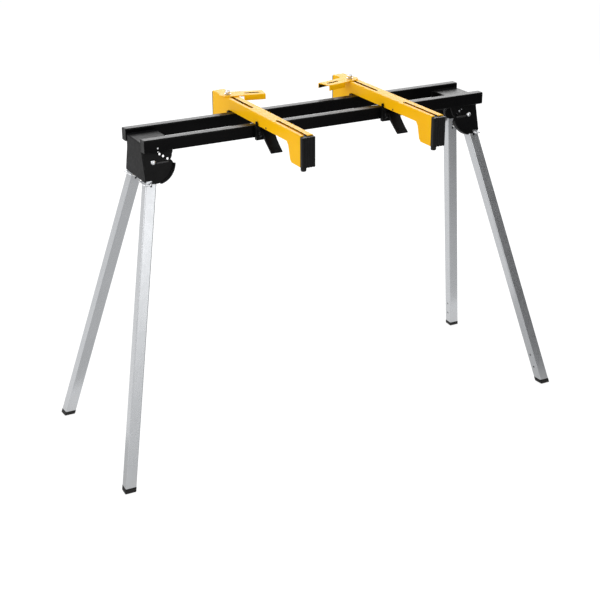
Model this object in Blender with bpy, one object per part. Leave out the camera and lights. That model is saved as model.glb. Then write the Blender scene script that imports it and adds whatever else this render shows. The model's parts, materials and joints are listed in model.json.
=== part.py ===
"""Folding miter saw stand: a two-rail beam on four splayed legs, with two sliding saw brackets.

The beam lies along X and its front, where the clamp levers are, faces -Y. The origin is on
the ground, under the middle of the whole stand's box. Everything is in metres.
"""

import math

import bmesh
import bpy
from mathutils import Matrix, Vector

# Fit between parts that touch
GAP = 0.0003

# Beam
BEAM_LENGTH = 1.000
BEAM_WIDTH = 0.150
BEAM_TOP = 0.852
RAIL_WIDTH = 0.025
RAIL_HEIGHT = 0.032
RAIL_WALL = 0.002
RAIL_CORNER = 0.003
RAIL_CAP_FLANGE = 0.0025
RAIL_CAP_PLUG = 0.016

# Leg hinges, measured from the beam's ends, the rails' inner faces and the beam's top
PIVOT_INSET = 0.030
PIVOT_FROM_RAIL = 0.012
PIVOT_DROP = 0.067
FOOT_SPREAD_X = 0.180
FOOT_SPREAD_Y = 0.200
LEFT_FOLD_ABOVE_LEVEL = 2.5
RIGHT_FOLD_ABOVE_LEVEL = -2.0

# Legs
LEG_TUBE = 0.0286
LEG_WALL = 0.0015
LEG_CORNER = 0.0025
LEG_ABOVE_PIVOT = 0.020
FOOT_HEIGHT = 0.012
FOOT_LIP = 0.0004
FOOT_PLUG = 0.026
FOOT_HOLE_RADIUS = 0.003
FOOT_HOLE_HEIGHTS = (0.050, 0.087)

# Hinge plates
PLATE_SHEET = 0.0025
SECTOR_RADIUS = 0.054
SECTOR_FLAT_DEPTH = 0.045
TRACK_SHEET = 0.0025
TRACK_HEIGHT = 0.009
TRACK_ANGLES = (10.9, 78.0)
NOTCH_MOUTH = 0.010
EAR_REACH = 0.003
RIB_LENGTH = 0.028
RIB_WIDTH = 0.005
RIB_HEIGHT = 0.001
PLATE_HOLE_RADIUS = 0.00325
PLATE_HOLES = ((0.0167, -0.0255), (0.0200, -0.0180), (0.0287, -0.0118), (0.0393, -0.0042))
PIN_RADIUS = 0.004
PIN_HEAD_RADIUS = 0.0065
PIN_HEAD_HEIGHT = 0.004
PIN_TAIL_RADIUS = 0.006
PIN_TAIL_HEIGHT = 0.0025

# End brackets
END_SHEET = 0.002
END_WALL_INSET = 0.0025
END_FLOOR_DROP = 0.0127
END_FLOOR_DEPTH = 0.080
END_CORNER = 0.004

# Wire bails that lock the legs
BAIL_WIRE = 0.0045
BAIL_RADIUS = 0.0514
BAIL_REACH = 0.0205
BAIL_DROP = 0.007
BAIL_JOG = 0.006
BAIL_BEND = 0.005
BAIL_TRAVEL = 0.0085
BAIL_SIDE_GAP = 0.0004
BAIL_PIN_REACH = 0.004

# Saw brackets
BRACKET_X = (-0.175, 0.196)
BRACKET_WIDTH = 0.036
BRACKET_SHEET = 0.0025
BRACKET_RISE = 0.030
BRACKET_FOLD = 0.003
BRACKET_FRONT = 0.320
BRACKET_REAR = 0.199
FRONT_DROP_START = 0.238
REAR_DROP_START = 0.0955
DROP_DEPTH = 0.048
DROP_SLOPE = 0.024
SLOT_WIDTH = 0.0085
SLOT_OFFSET = -0.004
REAR_SLOT = (-0.022, 0.150)
FRONT_SLOT = (-0.312, -0.157)

# Bracket end caps and bumpers
FRONT_CAP_DEPTH = 0.012
REAR_CAP_DEPTH = 0.004
CAP_PLUG = 0.013
CAP_BELOW_TOP = 0.003
CAP_RIBS = 5
CAP_RIB_DEPTH = 0.0015
BUMPER_RADIUS = 0.0072
BUMPER_HEIGHT = 0.0088
BUMPER_STEM_RADIUS = 0.002
BUMPER_STEM = 0.006
BUMPER_OFFSET = 0.0115

# Bracket clamps
CLAMP_WIDTH = 0.052
CLAMP_STANDOFF = 0.002
CLAMP_DEPTH = 0.0122
CLAMP_HEIGHT = 0.036
TONGUE_RISE = 0.020
TONGUE_REACH = 0.042
PAD_THICKNESS = 0.006
PAD_TRAVEL = 0.0015
PAD_MARGIN = 0.0017
PAD_INSET = 0.003
NOSE_HEIGHT = 0.004
NOSE_INSET = 0.004
CAM_CLEARANCE = 0.0004
CAM_RADIUS = 0.009
HUB_RADIUS = 0.0075
CAM_TURN = 50.0
LEVER_WIDTH = 0.032
LEVER_OFFSET = 0.002
LEVER_LENGTH = 0.066
LEVER_SLOPE = 38.5
LEVER_ROOT = 0.0082
LEVER_TIP = 0.0048
LEVER_SIDE_GAP = 0.0004
CLAMP_PIVOT_DROP = 0.017
CLAMP_PIN_RADIUS = 0.003
CLAMP_PIN_HEAD = 0.0039
CLAMP_PIN_HEAD_HEIGHT = 0.0015
EAR_THICKNESS = 0.006
EAR_RADIUS = 0.008
HOOK_DEPTH = 0.015
HOOK_LIP = 0.017
HOOK_LIP_THICKNESS = 0.0035

# Swivel arms and their bolts
ARM_WIDTH = 0.046
ARM_LENGTH = 0.098
ARM_SHEET = 0.0025
ARM_FLANGE = 0.0145
ARM_FLANGE_START = 0.040
ARM_SLOT = (0.045, 0.086)
ARM_TURNS = (-13.5, 194.5)
BOLT_Y = (0.128, 0.125)
BOLT_RADIUS = 0.0039
BOLT_HEAD_RADIUS = 0.0085
BOLT_HEAD_HEIGHT = 0.004
BOLT_HOLE_GAP = 0.0003
WASHER_RADIUS = 0.0085
WASHER_THICKNESS = 0.0015
NUT_FLATS = 0.013
NUT_HEX_HEIGHT = 0.0062
NUT_DOME_HEIGHT = 0.0052
NUT_BORE_DEPTH = 0.0058

# Values that follow from the ones above
RAIL_Y = BEAM_WIDTH / 2 - RAIL_WIDTH / 2
RAIL_INNER_Y = BEAM_WIDTH / 2 - RAIL_WIDTH
RAIL_BOTTOM = BEAM_TOP - RAIL_HEIGHT
PIVOT_X = BEAM_LENGTH / 2 - PIVOT_INSET
PIVOT_OFFSET = RAIL_INNER_Y - PIVOT_FROM_RAIL
PIVOT_Z = BEAM_TOP - PIVOT_DROP
TILT = math.atan2(FOOT_SPREAD_Y, PIVOT_Z)
SPLAY = math.atan2(FOOT_SPREAD_X, PIVOT_Z / math.cos(TILT))
LEG_HALF = LEG_TUBE / 2
PLATE_INNER = LEG_HALF + GAP
PLATE_OUTER = PLATE_INNER + PLATE_SHEET
END_WALL_U = PIVOT_INSET - END_SHEET - END_WALL_INSET
END_FLOOR_UNDER = BEAM_TOP - END_FLOOR_DROP - END_SHEET
CHANNEL_HALF = BRACKET_WIDTH / 2 - BRACKET_SHEET
CLAMP_PIVOT_Y = -(BEAM_WIDTH / 2 + GAP + PAD_THICKNESS + 0.0028 + CAM_CLEARANCE + CAM_RADIUS)
ROUND = 24


def clear_scene():
    for item in list(bpy.data.objects):
        bpy.data.objects.remove(item, do_unlink=True)
    for mesh in list(bpy.data.meshes):
        bpy.data.meshes.remove(mesh)


def material(name, colour, metallic, roughness):
    result = bpy.data.materials.new(name)
    result.use_nodes = True
    shader = result.node_tree.nodes["Principled BSDF"]
    shader.inputs["Base Color"].default_value = (*colour, 1.0)
    shader.inputs["Metallic"].default_value = metallic
    shader.inputs["Roughness"].default_value = roughness
    return result


def empty(name, location, parent=None):
    """An unturned empty; its children's coordinates count from it."""
    result = bpy.data.objects.new(name, None)
    result.location = Vector(location)
    result.parent = parent
    bpy.context.scene.collection.objects.link(result)
    return result


def piece(name, shape, finish, joint):
    """One sub-part. Its shape is in beam coordinates; its origin is its joint's empty."""
    centre = Vector((0.0, 0.0, 0.0))
    holder = joint
    while holder is not None and holder.name != "stand":
        centre += holder.location
        holder = holder.parent
    bmesh.ops.translate(shape, verts=shape.verts, vec=-centre)
    bmesh.ops.recalc_face_normals(shape, faces=shape.faces)
    mesh = bpy.data.meshes.new(name)
    shape.to_mesh(mesh)
    shape.free()
    mesh.shade_smooth()
    mesh.set_sharp_from_angle(angle=math.radians(32))
    mesh.materials.append(finish)
    result = bpy.data.objects.new(name, mesh)
    result.parent = joint
    bpy.context.scene.collection.objects.link(result)
    return result


def combine(shape, others, operation):
    """Joins or cuts closed shapes with exact Booleans, one after another."""
    for other in others:
        pair = []
        for label, content in (("blank", shape), ("tool", other)):
            bmesh.ops.recalc_face_normals(content, faces=content.faces)
            mesh = bpy.data.meshes.new(label)
            content.to_mesh(mesh)
            content.free()
            holder = bpy.data.objects.new(label, mesh)
            bpy.context.scene.collection.objects.link(holder)
            pair.append(holder)
        boolean = pair[0].modifiers.new("boolean", "BOOLEAN")
        boolean.operation = operation
        boolean.solver = "EXACT"
        boolean.object = pair[1]
        scene_graph = bpy.context.evaluated_depsgraph_get()
        result = bpy.data.meshes.new_from_object(pair[0].evaluated_get(scene_graph))
        shape = bmesh.new()
        shape.from_mesh(result)
        for holder in pair:
            bpy.data.objects.remove(holder, do_unlink=True)
        bpy.data.meshes.remove(result)
        bmesh.ops.remove_doubles(shape, verts=shape.verts, dist=1e-7)
    return shape


def cut(shape, *tools):
    return combine(shape, tools, "DIFFERENCE")


def fuse(shape, *others):
    return combine(shape, others, "UNION")


def stack(loops):
    """A closed solid through matching loops of points, capped at both ends."""
    shape = bmesh.new()
    rings = [[shape.verts.new(point) for point in loop] for loop in loops]
    count = len(rings[0])
    for lower, upper in zip(rings, rings[1:]):
        for i in range(count):
            j = (i + 1) % count
            shape.faces.new((lower[i], lower[j], upper[j], upper[i]))
    shape.faces.new(list(reversed(rings[0])))
    shape.faces.new(rings[-1])
    bmesh.ops.recalc_face_normals(shape, faces=shape.faces)
    return shape


def hollow(loops):
    """A closed ring-shaped solid: matching loops bridged in turn, the last to the first."""
    shape = bmesh.new()
    rings = [[shape.verts.new(point) for point in loop] for loop in loops]
    count = len(rings[0])
    for k, lower in enumerate(rings):
        upper = rings[(k + 1) % len(rings)]
        for i in range(count):
            j = (i + 1) % count
            shape.faces.new((lower[i], lower[j], upper[j], upper[i]))
    bmesh.ops.recalc_face_normals(shape, faces=shape.faces)
    return shape


def prism(outline, frame, low, high):
    """A flat outline in a frame's first two axes, from low to high along its third."""
    return stack([[frame @ Vector((a, b, height)) for a, b in outline] for height in (low, high)])


def turned(profile, frame, sides=ROUND):
    """A solid of revolution from (radius, height) pairs about a frame's third axis."""
    loops = []
    for radius, height in profile:
        loops.append([
            frame @ Vector((
                radius * math.cos(2 * math.pi * i / sides),
                radius * math.sin(2 * math.pi * i / sides),
                height,
            ))
            for i in range(sides)
        ])
    return stack(loops)


def block(low, high):
    """A plain rectangular body between two corners."""
    outline = ((low[0], low[1]), (high[0], low[1]), (high[0], high[1]), (low[0], high[1]))
    return prism(outline, Matrix.Identity(4), low[2], high[2])


def arc(centre, radius, start, end, steps):
    """Points on an arc, angles in degrees."""
    points = []
    for i in range(steps + 1):
        angle = math.radians(start + (end - start) * i / steps)
        points.append((centre[0] + radius * math.cos(angle), centre[1] + radius * math.sin(angle)))
    return points


def rounded_rectangle(half_a, half_b, radius, steps=3, centre=(0.0, 0.0)):
    points = []
    for side_a, side_b, start in ((1, 1, 0), (-1, 1, 90), (-1, -1, 180), (1, -1, 270)):
        corner = (centre[0] + side_a * (half_a - radius), centre[1] + side_b * (half_b - radius))
        points += arc(corner, radius, start, start + 90, steps)
    return points


def stadium(start, end, radius, steps=8):
    """A slot outline around the line from start to end."""
    angle = math.degrees(math.atan2(end[1] - start[1], end[0] - start[0]))
    first = arc(start, radius, angle + 90, angle + 270, steps)
    return first + arc(end, radius, angle - 90, angle + 90, steps)


def axes(origin, first, second, third):
    """A frame from its origin and three axis directions."""
    rows = [(first[i], second[i], third[i], origin[i]) for i in range(3)]
    return Matrix((*rows, (0.0, 0.0, 0.0, 1.0)))


def wire(path, radius, sides=8):
    """A round wire along a path, with flat ends."""
    loops = []
    side = None
    for i, point in enumerate(path):
        before = path[max(i - 1, 0)]
        after = path[min(i + 1, len(path) - 1)]
        along = (after - before).normalized()
        if side is None:
            side = along.orthogonal().normalized()
        side = (side - along * side.dot(along)).normalized()
        across = along.cross(side)
        loops.append([
            point + radius * (
                side * math.cos(2 * math.pi * k / sides) + across * math.sin(2 * math.pi * k / sides)
            )
            for k in range(sides)
        ])
    return stack(loops)


def filleted_path(corners, radius, steps=4):
    """A path through corner points, each inner corner rounded to the radius."""
    path = [corners[0]]
    for before, corner, after in zip(corners, corners[1:], corners[2:]):
        back = (before - corner).normalized()
        ahead = (after - corner).normalized()
        half = back.angle(ahead) / 2
        reach = radius / math.tan(half)
        centre = corner + (back + ahead).normalized() * (radius / math.sin(half))
        start = corner + back * reach - centre
        end = corner + ahead * reach - centre
        sweep = start.angle(end)
        for i in range(steps + 1):
            t = i / steps
            weight = math.sin((1 - t) * sweep) / math.sin(sweep)
            path.append(centre + start * weight + end * (math.sin(t * sweep) / math.sin(sweep)))
    return path + [corners[-1]]


def hinge_frame(side_x, side_y):
    """The tilted plane of one leg: u toward the beam's middle, v down, n out of the stand."""
    origin = Vector((side_x * PIVOT_X, side_y * PIVOT_OFFSET, PIVOT_Z))
    u = Vector((-side_x, 0.0, 0.0))
    v = Vector((0.0, side_y * math.sin(TILT), -math.cos(TILT)))
    n = Vector((0.0, side_y * math.cos(TILT), math.sin(TILT)))
    return axes(origin, u, v, n)


def leg_frame(side_x, side_y):
    """The leg's own frame: p across it toward the beam's middle, l down along it, n out."""
    turn = Matrix.Rotation(SPLAY, 4, "Z")
    return hinge_frame(side_x, side_y) @ turn


def leg_loop(frame, half, corner, height=None, along=None):
    """The leg's section, cut square at a distance along it or level at a height."""
    loop = []
    for p, n in rounded_rectangle(half, half, corner):
        if height is None:
            loop.append(frame @ Vector((p, along, n)))
            continue
        start = frame @ Vector((p, 0.0, n))
        direction = (frame @ Vector((p, 1.0, n))) - start
        loop.append(start + direction * ((height - start.z) / direction.z))
    return loop


def fold_angle(side_x):
    above_level = LEFT_FOLD_ABOVE_LEVEL if side_x < 0 else RIGHT_FOLD_ABOVE_LEVEL
    return math.degrees(SPLAY) + 90.0 + above_level


def rail(name, side_y, stand, steel, plastic):
    """A rectangular steel tube with a plastic plug in each end."""
    reach = BEAM_LENGTH / 2 - RAIL_CAP_FLANGE - GAP
    centre = (side_y * RAIL_Y, BEAM_TOP - RAIL_HEIGHT / 2)
    half = (RAIL_WIDTH / 2, RAIL_HEIGHT / 2)
    outer = rounded_rectangle(*half, RAIL_CORNER, 3, centre)
    bore = (half[0] - RAIL_WALL, half[1] - RAIL_WALL)
    inner = rounded_rectangle(*bore, RAIL_CORNER - RAIL_WALL, 3, centre)
    loops = [[Vector((x, *point)) for point in outline]
             for x, outline in ((-reach, outer), (reach, outer), (reach, inner), (-reach, inner))]
    piece(name, hollow(loops), steel, stand)
    plug = rounded_rectangle(bore[0] - GAP, bore[1] - GAP, RAIL_CORNER - RAIL_WALL, 3, centre)
    for side_x, end in ((-1, "left"), (1, "right")):
        face = side_x * BEAM_LENGTH / 2
        shoulder = side_x * (reach + GAP)
        tip = side_x * (reach - RAIL_CAP_PLUG)
        places = ((face, outer), (shoulder, outer), (shoulder, plug), (tip, plug))
        loops = [[Vector((x, *point)) for point in outline] for x, outline in places]
        piece(name + "_cap_" + end, stack(loops), plastic, stand)


def stop_depth():
    """How far down the hinge plane the leg meets the end wall's lower edge."""
    return (END_WALL_U - GAP - LEG_HALF / math.cos(SPLAY)) / math.tan(SPLAY)


def height_on_plane(depth, outward):
    return PIVOT_Z + outward * math.sin(TILT) - depth * math.cos(TILT)


def offset_on_plane(depth, outward):
    return PIVOT_OFFSET + outward * math.cos(TILT) + depth * math.sin(TILT)


def bend_depth():
    """Where a hinge plate's outer face meets the plane of the rail's inner face."""
    return (RAIL_INNER_Y - GAP - offset_on_plane(0.0, PLATE_OUTER)) / math.sin(TILT)


def end_bracket(name, side_x, stand, steel):
    """A folded sheet: a floor between the rails and a wall across the legs' outer sides."""
    outer_x = BEAM_LENGTH / 2 - END_WALL_INSET
    floor_half = RAIL_INNER_Y - GAP
    floor_top = BEAM_TOP - END_FLOOR_DROP
    wall_bottom = height_on_plane(stop_depth(), LEG_HALF)
    bend_z = height_on_plane(bend_depth(), PLATE_OUTER)
    lower_half = floor_half + (bend_z - wall_bottom) * math.tan(TILT)
    outline = [(-floor_half, floor_top), (-floor_half, bend_z)]
    outline += arc((-lower_half + END_CORNER, wall_bottom + END_CORNER), END_CORNER, 180, 270, 4)
    outline += arc((lower_half - END_CORNER, wall_bottom + END_CORNER), END_CORNER, 270, 360, 4)
    outline += [(floor_half, bend_z), (floor_half, floor_top)]
    facing = axes((0, 0, 0), (0, 1, 0), (0, 0, 1), (side_x, 0, 0))
    wall = prism(outline, facing, outer_x - END_SHEET, outer_x)
    inner_x = outer_x - END_FLOOR_DEPTH
    low = (min(side_x * inner_x, side_x * outer_x), -floor_half, floor_top - END_SHEET)
    high = (max(side_x * inner_x, side_x * outer_x), floor_half, floor_top)
    piece(name, fuse(wall, block(low, high)), steel, stand)


def sector_outline(side_x):
    """A hinge plate's outline below its bend, from the outer edge round to the inner edge."""
    pin_u = -BAIL_RADIUS * math.sin(SPLAY)
    step_u = pin_u + BAIL_WIRE / 2 + GAP
    step_angle = math.degrees(math.acos(step_u / SECTOR_RADIUS))
    seat_angle = math.degrees(SPLAY) + 90.0 - fold_angle(side_x)
    seat_radius = BAIL_WIRE / 2 + GAP
    turn = math.radians(seat_angle)
    along = (math.cos(turn), math.sin(turn))
    across = (-along[1], along[0])
    lip = math.degrees(NOTCH_MOUTH / SECTOR_RADIUS)
    outline = [(-END_WALL_U + GAP, SECTOR_FLAT_DEPTH), (step_u, SECTOR_FLAT_DEPTH)]
    outline += arc((0, 0), SECTOR_RADIUS, step_angle, seat_angle + lip, 20)
    seat = BAIL_RADIUS - seat_radius * 0.7
    for side in (1, -1):
        throat = (seat * along[0] + side * seat_radius * across[0],
                  seat * along[1] + side * seat_radius * across[1])
        if side > 0:
            outline.append(throat)
            outline += arc((seat * along[0], seat * along[1]), seat_radius,
                           seat_angle + 90, seat_angle + 270, 8)[1:-1]
        else:
            outline.append(throat)
    outline += arc((0, 0), SECTOR_RADIUS, seat_angle - lip, seat_angle - lip - 2, 1)
    return outline


def sector_plate(name, side_x, side_y, stand, steel):
    """Outer hinge plate: pressed sheet with a lock notch, a curved track and lightening holes."""
    frame = hinge_frame(side_x, side_y)
    bend = bend_depth()
    outline = sector_outline(side_x)
    inner_u = outline[-1][0]
    edge_u = inner_u + EAR_REACH
    outline += [(edge_u, bend), (-END_WALL_U + GAP, bend)]
    flat = prism(outline, frame, PLATE_INNER, PLATE_OUTER)
    fold = frame @ Vector((0.0, bend, PLATE_OUTER))
    upright = axes(fold, (-side_x, 0, 0), (0, 0, -1), (0, side_y, 0))
    rise = END_FLOOR_UNDER - GAP - fold.z
    flange_outline = ((-END_WALL_U + GAP, -rise), (edge_u, -rise),
                      (edge_u, 0.0006), (-END_WALL_U + GAP, 0.0006))
    flange = prism(flange_outline, upright, -PLATE_SHEET, 0.0)
    track_outline = arc((0, 0), SECTOR_RADIUS, TRACK_ANGLES[0] + seat_shift(side_x), TRACK_ANGLES[1], 12)
    track_outline += arc((0, 0), SECTOR_RADIUS + TRACK_SHEET, TRACK_ANGLES[1],
                         TRACK_ANGLES[0] + seat_shift(side_x), 12)
    inset = TRACK_SHEET / 5
    track_outline = [scaled(point, inset) if i <= 12 else point for i, point in enumerate(track_outline)]
    track = prism(track_outline, frame, PLATE_INNER, PLATE_OUTER + TRACK_HEIGHT)
    rib_start = PIN_HEAD_RADIUS + 0.004
    rib_outline = stadium((rib_start, 0.003), (rib_start + RIB_LENGTH, 0.003), RIB_WIDTH / 2, 6)
    rib = prism(rib_outline, frame, PLATE_OUTER - PLATE_SHEET / 2, PLATE_OUTER + RIB_HEIGHT)
    shape = fuse(flat, flange, track, rib)
    drills = [(0.0, 0.0, PIN_RADIUS + GAP)] + [(*hole, PLATE_HOLE_RADIUS) for hole in PLATE_HOLES]
    tools = []
    for u, v, radius in drills:
        place = frame @ Matrix.Translation((u, v, 0.0))
        tools.append(turned(((radius, 0.004), (radius, 0.030)), place, 16))
    piece(name, cut(shape, *tools), steel, stand)


def scaled(point, inset):
    """A point moved toward the pivot, so that the track bites into its plate."""
    size = math.hypot(*point)
    return (point[0] * (1 - inset / size), point[1] * (1 - inset / size))


def seat_shift(side_x):
    """How far the fold notch, and the end of the track with it, turns from a level leg."""
    return math.degrees(SPLAY) + 90.0 - fold_angle(side_x)


def inner_plate(name, side_x, side_y, stand, steel):
    """Inner hinge plate: a strap from the end bracket's floor down round the pivot pin."""
    frame = hinge_frame(side_x, side_y)
    half = END_WALL_U - GAP
    top = -(END_FLOOR_UNDER - GAP - height_on_plane(0.0, -PLATE_INNER)) / math.cos(TILT)
    outline = [(-half, top), (half, top)] + arc((0, 0), half, 0, 180, 14)
    shape = prism(outline, frame, -PLATE_OUTER, -PLATE_INNER)
    bore = turned(((PIN_RADIUS + GAP, -0.030), (PIN_RADIUS + GAP, -0.004)), frame, 16)
    piece(name, cut(shape, bore), steel, stand)


def pivot_pin(name, side_x, side_y, stand, chrome):
    """A riveted pin through both plates and the leg, with a domed head outside."""
    frame = hinge_frame(side_x, side_y)
    shoulder = PLATE_OUTER + GAP
    profile = [(PIN_TAIL_RADIUS * 0.7, -shoulder - PIN_TAIL_HEIGHT),
               (PIN_TAIL_RADIUS, -shoulder - PIN_TAIL_HEIGHT * 0.5),
               (PIN_TAIL_RADIUS, -shoulder), (PIN_RADIUS, -shoulder),
               (PIN_RADIUS, shoulder), (PIN_HEAD_RADIUS, shoulder)]
    for step in range(5):
        angle = math.radians(18 * step)
        profile.append((PIN_HEAD_RADIUS * math.cos(angle),
                        shoulder + PIN_HEAD_HEIGHT * (0.25 + 0.75 * math.sin(angle))))
    piece(name, turned(profile, frame, 16), chrome, stand)


def leg(label, side_x, side_y, stand, finishes):
    """A square tube on its pivot, with a rubber foot and the wire bail that locks it."""
    frame = leg_frame(side_x, side_y)
    joint = empty("pivot_" + label, frame.translation, stand)
    cut_height = FOOT_HEIGHT + GAP
    bore = LEG_HALF - LEG_WALL
    bore_corner = LEG_CORNER - LEG_WALL
    loops = [leg_loop(frame, LEG_HALF, LEG_CORNER, along=-LEG_ABOVE_PIVOT),
             leg_loop(frame, LEG_HALF, LEG_CORNER, height=cut_height),
             leg_loop(frame, bore, bore_corner, height=cut_height),
             leg_loop(frame, bore, bore_corner, along=-LEG_ABOVE_PIVOT)]
    tools = [turned(((PIN_RADIUS + GAP, -0.020), (PIN_RADIUS + GAP, 0.020)), frame, 16)]
    slot = stadium((0.0, BAIL_RADIUS), (0.0, BAIL_RADIUS + BAIL_TRAVEL), BAIL_WIRE / 2 + GAP, 6)
    tools.append(prism(slot, frame, -0.020, 0.020))
    sideways = axes(frame.translation, frame.col[1].xyz, frame.col[2].xyz, frame.col[0].xyz)
    drop = -frame.col[1].z
    for height in FOOT_HOLE_HEIGHTS:
        centre = sideways @ Matrix.Translation(((PIVOT_Z - height) / drop, 0.0, 0.0))
        drill = ((FOOT_HOLE_RADIUS, LEG_HALF - 0.005), (FOOT_HOLE_RADIUS, LEG_HALF + 0.005))
        tools.append(turned(drill, centre, 12))
    piece("leg_tube_" + label, cut(hollow(loops), *tools), finishes["tube"], joint)

    outer = LEG_HALF + FOOT_LIP
    plug = bore - GAP
    loops = [leg_loop(frame, outer, LEG_CORNER, height=0.0),
             leg_loop(frame, outer, LEG_CORNER, height=FOOT_HEIGHT),
             leg_loop(frame, plug, bore_corner, height=FOOT_HEIGHT),
             leg_loop(frame, plug, bore_corner, height=FOOT_HEIGHT + FOOT_PLUG)]
    piece("foot_" + label, stack(loops), finishes["rubber"], joint)

    bail(label, frame, joint, finishes["chrome"])


def bail(label, frame, joint, chrome):
    """A bent wire: both ends are lock pins, and the level bar outboard of the leg is the pull."""
    arm_n = PLATE_OUTER + BAIL_SIDE_GAP + BAIL_WIRE / 2
    inside = LEG_HALF - BAIL_PIN_REACH
    outer_l = BAIL_RADIUS + BAIL_DROP
    inner_l = outer_l - 2 * arm_n * math.tan(TILT) / math.cos(SPLAY)
    corners = [(0.0, BAIL_RADIUS, inside), (0.0, BAIL_RADIUS, arm_n), (-BAIL_JOG, outer_l, arm_n),
               (-BAIL_REACH, outer_l, arm_n), (-BAIL_REACH, inner_l, -arm_n),
               (0.0, BAIL_RADIUS, -arm_n), (0.0, BAIL_RADIUS, -inside)]
    path = filleted_path([frame @ Vector(corner) for corner in corners], BAIL_BEND)
    slide = empty("bail_slide_" + label, (0.0, 0.0, 0.0), joint)
    piece("lock_bail_" + label, wire(path, BAIL_WIRE / 2), chrome, slide)


def channel_section(half, top, bottom, sheet, fold):
    """The outline of an inverted U of folded sheet, in (across, up)."""
    outline = [(-half, bottom)] + arc((-half + fold, top - fold), fold, 180, 90, 3)
    outline += arc((half - fold, top - fold), fold, 90, 0, 3) + [(half, bottom)]
    bend = max(fold - sheet, 0.0002)
    outline += [(half - sheet, bottom)]
    outline += arc((half - sheet - bend, top - sheet - bend), bend, 0, 90, 2)
    outline += arc((-half + sheet + bend, top - sheet - bend), bend, 90, 180, 2)
    outline += [(-half + sheet, bottom)]
    return outline


def bracket(label, centre_x, bolt_y, arm_turn, stand, finishes):
    """A saw bracket across the rails with everything that slides along the beam with it."""
    slide = empty("slide_" + label, (centre_x, 0.0, BEAM_TOP), stand)
    half = BRACKET_WIDTH / 2
    lengthwise = axes((centre_x, 0.0, BEAM_TOP), (1, 0, 0), (0, 0, 1), (0, 1, 0))
    sideways = axes((centre_x, 0.0, BEAM_TOP), (0, 1, 0), (0, 0, 1), (1, 0, 0))
    upright = Matrix.Translation((centre_x, 0.0, BEAM_TOP))
    front = -BRACKET_FRONT + FRONT_CAP_DEPTH
    rear = BRACKET_REAR - REAR_CAP_DEPTH
    section = channel_section(half, BRACKET_RISE, -DROP_DEPTH, BRACKET_SHEET, BRACKET_FOLD)
    shape = prism(section, lengthwise, front, rear)
    below = -DROP_DEPTH - 0.010
    slope = [(1.0, below), (1.0, -DROP_DEPTH), (0.70, -DROP_DEPTH * 0.865), (0.33, -DROP_DEPTH * 0.19)]
    void = [(-FRONT_DROP_START - DROP_SLOPE * share, z) for share, z in slope]
    void += [(-FRONT_DROP_START, 0.0), (REAR_DROP_START, 0.0)]
    void += [(REAR_DROP_START + DROP_SLOPE * share, z) for share, z in reversed(slope)]
    tools = [prism(void, sideways, -half - 0.005, half + 0.005)]
    for start, end in (REAR_SLOT, FRONT_SLOT):
        radius = SLOT_WIDTH / 2
        outline = stadium((SLOT_OFFSET, start + radius), (SLOT_OFFSET, end - radius), radius, 8)
        tools.append(prism(outline, upright, BRACKET_RISE - 0.008, BRACKET_RISE + 0.005))
    piece("bracket_" + label, cut(shape, *tools), finishes["yellow"], slide)

    end_cap("front_cap_" + label, centre_x, front - GAP, -1, FRONT_CAP_DEPTH - GAP, slide, finishes)
    end_cap("rear_cap_" + label, centre_x, rear + GAP, 1, REAR_CAP_DEPTH - GAP, slide, finishes)
    bumper("bumper_" + label, centre_x, slide, finishes["rubber"])
    clamp(label, centre_x, sideways, slide, finishes)
    rail_hook("rail_hook_" + label, centre_x, sideways, slide, finishes["plastic"])
    swivel_arm(label, centre_x + SLOT_OFFSET, bolt_y, arm_turn, slide, finishes)


def end_cap(name, centre_x, face_y, direction, depth, slide, finishes):
    """A moulded cap with upright ribs outside and a plug that fits inside the channel."""
    half = BRACKET_WIDTH / 2
    ribbed = depth > 3 * CAP_RIB_DEPTH
    rib_depth = CAP_RIB_DEPTH if ribbed else 0.0
    outer = face_y + direction * depth
    outline = [(-half, face_y)]
    if ribbed:
        pitch = BRACKET_WIDTH / CAP_RIBS
        for i in range(CAP_RIBS):
            left = -half + i * pitch
            outline += [(left, outer - direction * rib_depth),
                        (left + pitch * 0.18, outer - direction * rib_depth),
                        (left + pitch * 0.32, outer),
                        (left + pitch * 0.68, outer),
                        (left + pitch * 0.82, outer - direction * rib_depth)]
        outline.append((half, outer - direction * rib_depth))
    else:
        outline += [(-half, outer), (half, outer)]
    outline.append((half, face_y))
    upright = Matrix.Translation((centre_x, 0.0, BEAM_TOP))
    shell = prism(outline, upright, -DROP_DEPTH, BRACKET_RISE - CAP_BELOW_TOP)
    plug_half = CHANNEL_HALF - GAP
    ends = sorted((face_y + direction * 0.001, face_y - direction * CAP_PLUG))
    plug = block((centre_x - plug_half, ends[0], BEAM_TOP - DROP_DEPTH + 0.002),
                 (centre_x + plug_half, ends[1], BEAM_TOP + BRACKET_RISE - BRACKET_SHEET - GAP))
    shape = fuse(shell, plug)
    if ribbed:
        seat = Matrix.Translation((centre_x - BUMPER_OFFSET, bumper_y(), BEAM_TOP - DROP_DEPTH))
        radius = BUMPER_STEM_RADIUS + GAP
        shape = cut(shape, turned(((radius, -0.005), (radius, BUMPER_STEM + GAP)), seat, 12))
    piece(name, shape, finishes["plastic"], slide)


def bumper_y():
    return -BRACKET_FRONT + BUMPER_RADIUS


def bumper(name, centre_x, slide, rubber):
    """A round rubber bumper with a stem pressed into the front cap."""
    seat = Matrix.Translation((centre_x - BUMPER_OFFSET, bumper_y(), BEAM_TOP - DROP_DEPTH - GAP))
    profile = ((BUMPER_RADIUS * 0.72, -BUMPER_HEIGHT), (BUMPER_RADIUS * 0.9, -BUMPER_HEIGHT * 0.9),
               (BUMPER_RADIUS, -BUMPER_HEIGHT * 0.7), (BUMPER_RADIUS, 0.0),
               (BUMPER_STEM_RADIUS, 0.0), (BUMPER_STEM_RADIUS, BUMPER_STEM))
    piece(name, turned(profile, seat, 20), rubber, slide)


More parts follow.
